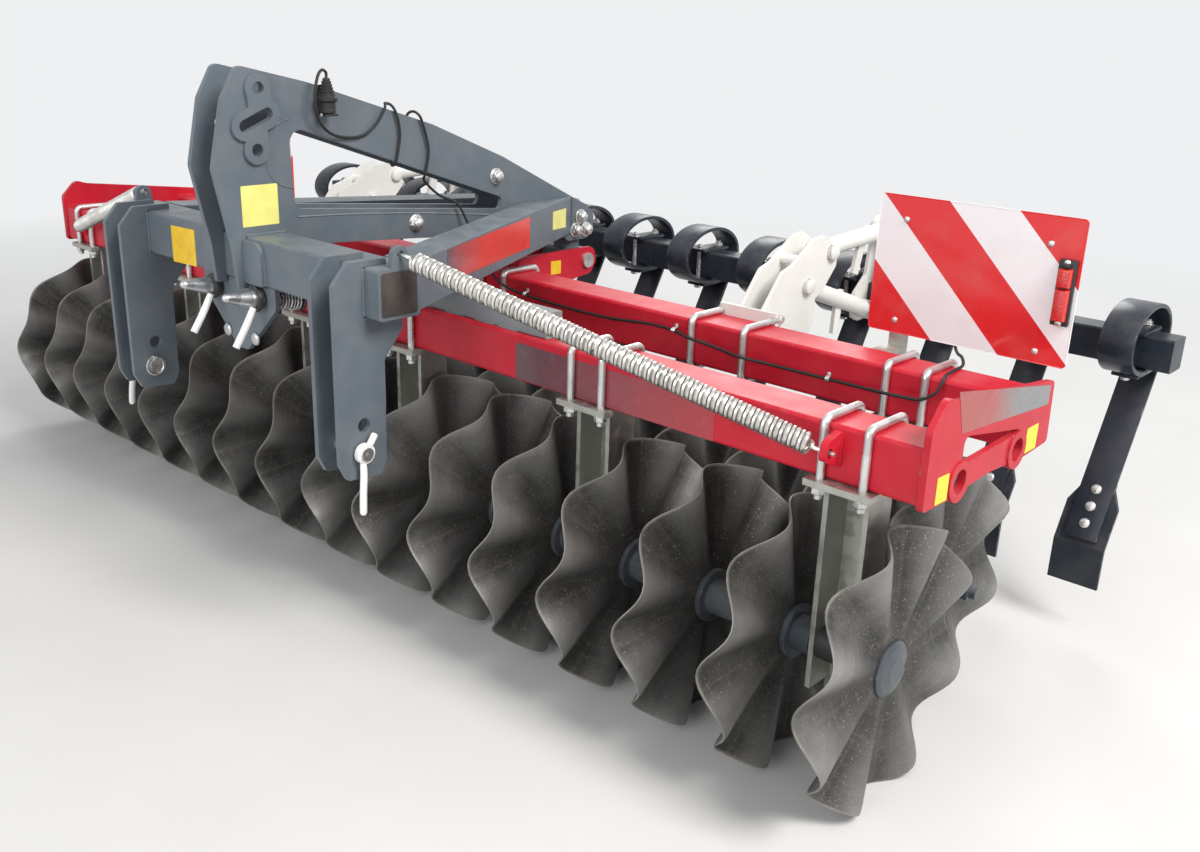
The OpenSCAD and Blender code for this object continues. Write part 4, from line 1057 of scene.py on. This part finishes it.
def panel(corners, thick=0.5, soften=2.5):
    """A thin bare plate on a face, its corners given in order in metres."""
    normal = (corners[1] - corners[0]).cross(corners[2] - corners[1]).normalized()
    piece = start(bpy.ops.mesh.primitive_plane_add, size=1)
    for vertex, corner in zip(piece.data.vertices, (corners[0], corners[1], corners[3], corners[2])):
        vertex.co = corner
    edit()
    bpy.ops.mesh.bevel(offset=mm(soften), segments=3, affect="VERTICES")
    bpy.ops.mesh.select_all(action="SELECT")
    extrude(normal * mm(thick))
    return face_outwards(piece)


def on_x(x, *points):
    return [at(x, y, z) for y, z in points]


def on_y(y, *points):
    return [at(x, y, z) for x, z in points]


def on_arm(*points):
    """Points on the right diagonal arm's outer face, by distance from its front end and by height."""
    way = Vector((-430, 895, 0)).normalized()
    return [at(480, -195, z) + way * mm(along) for along, z in points]


END_X, CHEEK_X = 1500, 50
fit(panel(on_y(0, (567, 592), (1082, 590), (1082, 665), (567, 669))),
    "beam_panel", "frame", "black", BEAM_PANEL)
fit(panel(on_x(END_X, (72, 768), (101, 691), (455, 663), (455, 700))),
    "end_panel", "frame", "slate", END_PANEL)
fit(join([panel(on_x(END_X, (35, 584), (76, 582), (76, 630), (35, 632))),
          panel(on_x(END_X, (376, 586), (424, 586), (424, 634), (376, 634)))]),
    "end_tags", "frame", "board_paint", TAG_YELLOW)
fit(panel(on_arm((163, 773), (663, 762), (663, 837), (163, 842))),
    "arm_panel", "headstock", "black", ARM_PANEL)
fit(panel(on_arm((838, 777), (945, 768), (945, 819), (838, 824)), soften=1.5),
    "arm_tag", "headstock", "board_paint", TAG_PALE)
# A thin dark sheet on each crossbeam end, painted shade for how dark the ends look
beam_end_shade = panel(on_x(500, (-288, 752), (-202, 752), (-202, 838), (-288, 838)), 0.6, 6)
fit(join([beam_end_shade, mirror_copy(beam_end_shade)]), "crossbeam_end_shades", "headstock", "slate", END_SHADE_BROWN)
fit(panel(on_x(78, (596, 648), (634, 646), (634, 682), (596, 684)), soften=1.5),
    "ear_tag", "frame", "board_paint", TAG_AMBER)
fit(panel(on_x(CHEEK_X, (-300, 864), (-212, 864), (-212, 950), (-300, 950))),
    "mast_tag", "headstock", "board_paint", TAG_PALE)
fit(panel(on_y(-295, (-266, 742), (-163, 746), (-163, 829), (-266, 826))),
    "crossbeam_tag", "headstock", "board_paint", TAG_AMBER)


# Floor, lamps and world

PALE = (0.86, 0.87, 0.88, 1)


def light(name, position, size, power, colour=(1, 1, 1)):
    lamp = bpy.data.objects.new(name, bpy.data.lights.new(name, "AREA"))
    lamp.data.size, lamp.data.energy, lamp.data.color = size, power, colour
    lamp.location = position
    lamp.rotation_euler = (Vector((0, 0, 0.4)) - Vector(position)).to_track_quat("-Z", "Y").to_euler()
    bpy.context.collection.objects.link(lamp)


def seen_directly(tree):
    """1 for camera, glossy and transmitted rays, which see the background; 0 for rays that give light."""
    path = tree.nodes.new("ShaderNodeLightPath")
    total = path.outputs["Is Camera Ray"]
    for ray in ("Is Glossy Ray", "Is Transmission Ray"):
        both = tree.nodes.new("ShaderNodeMath")
        both.operation = "MAXIMUM"
        tree.links.new(total, both.inputs[0])
        tree.links.new(path.outputs[ray], both.inputs[1])
        total = both.outputs[0]
    return total


def set_floor():
    """A pale floor that fades into the background round the machine."""
    floor = start(bpy.ops.mesh.primitive_plane_add, size=60)
    floor.name = "floor"
    m = Finish("floor_pale", 0.85)
    m.put(m.mix(m.span(m.noise(1.2, 5), 0.3, 0.7), (0.66, 0.655, 0.645), (0.71, 0.705, 0.695)), "Base Color")
    reach = m.node("ShaderNodeVectorMath", {0: m.place}, operation="LENGTH").outputs["Value"]
    far = m.math("MULTIPLY", m.span(reach, 2.6, 5.5), seen_directly(m.tree))
    glow = m.node("ShaderNodeEmission", {"Color": PALE, "Strength": 1.0}).outputs[0]
    blend = m.node("ShaderNodeMixShader", {0: far, 1: m.shader.outputs[0], 2: glow}).outputs[0]
    m.tree.links.new(blend, m.tree.nodes["Material Output"].inputs["Surface"])
    floor.data.materials.append(m.material)


def set_world():
    """A cool sky that lights the machine; what is seen directly is the pale background."""
    world = bpy.data.worlds.new("studio")
    bpy.context.scene.world = world
    world.use_nodes = True
    tree = world.node_tree
    around = tree.nodes["Background"]
    around.inputs["Color"].default_value = (0.90, 0.93, 0.96, 1)
    around.inputs["Strength"].default_value = 0.5
    seen = tree.nodes.new("ShaderNodeBackground")
    seen.inputs["Color"].default_value = PALE
    blend = tree.nodes.new("ShaderNodeMixShader")
    tree.links.new(seen_directly(tree), blend.inputs[0])
    tree.links.new(around.outputs[0], blend.inputs[1])
    tree.links.new(seen.outputs[0], blend.inputs[2])
    tree.links.new(blend.outputs[0], tree.nodes["World Output"].inputs["Surface"])


set_floor()
light("key", (5.0, -0.4, 5.0), 2.6, 400, (1.0, 0.975, 0.94))
light("fill", (0.8, -5.4, 2.8), 3.5, 130)
light("back", (-2.0, 5.0, 4.0), 3.0, 130)
set_world()
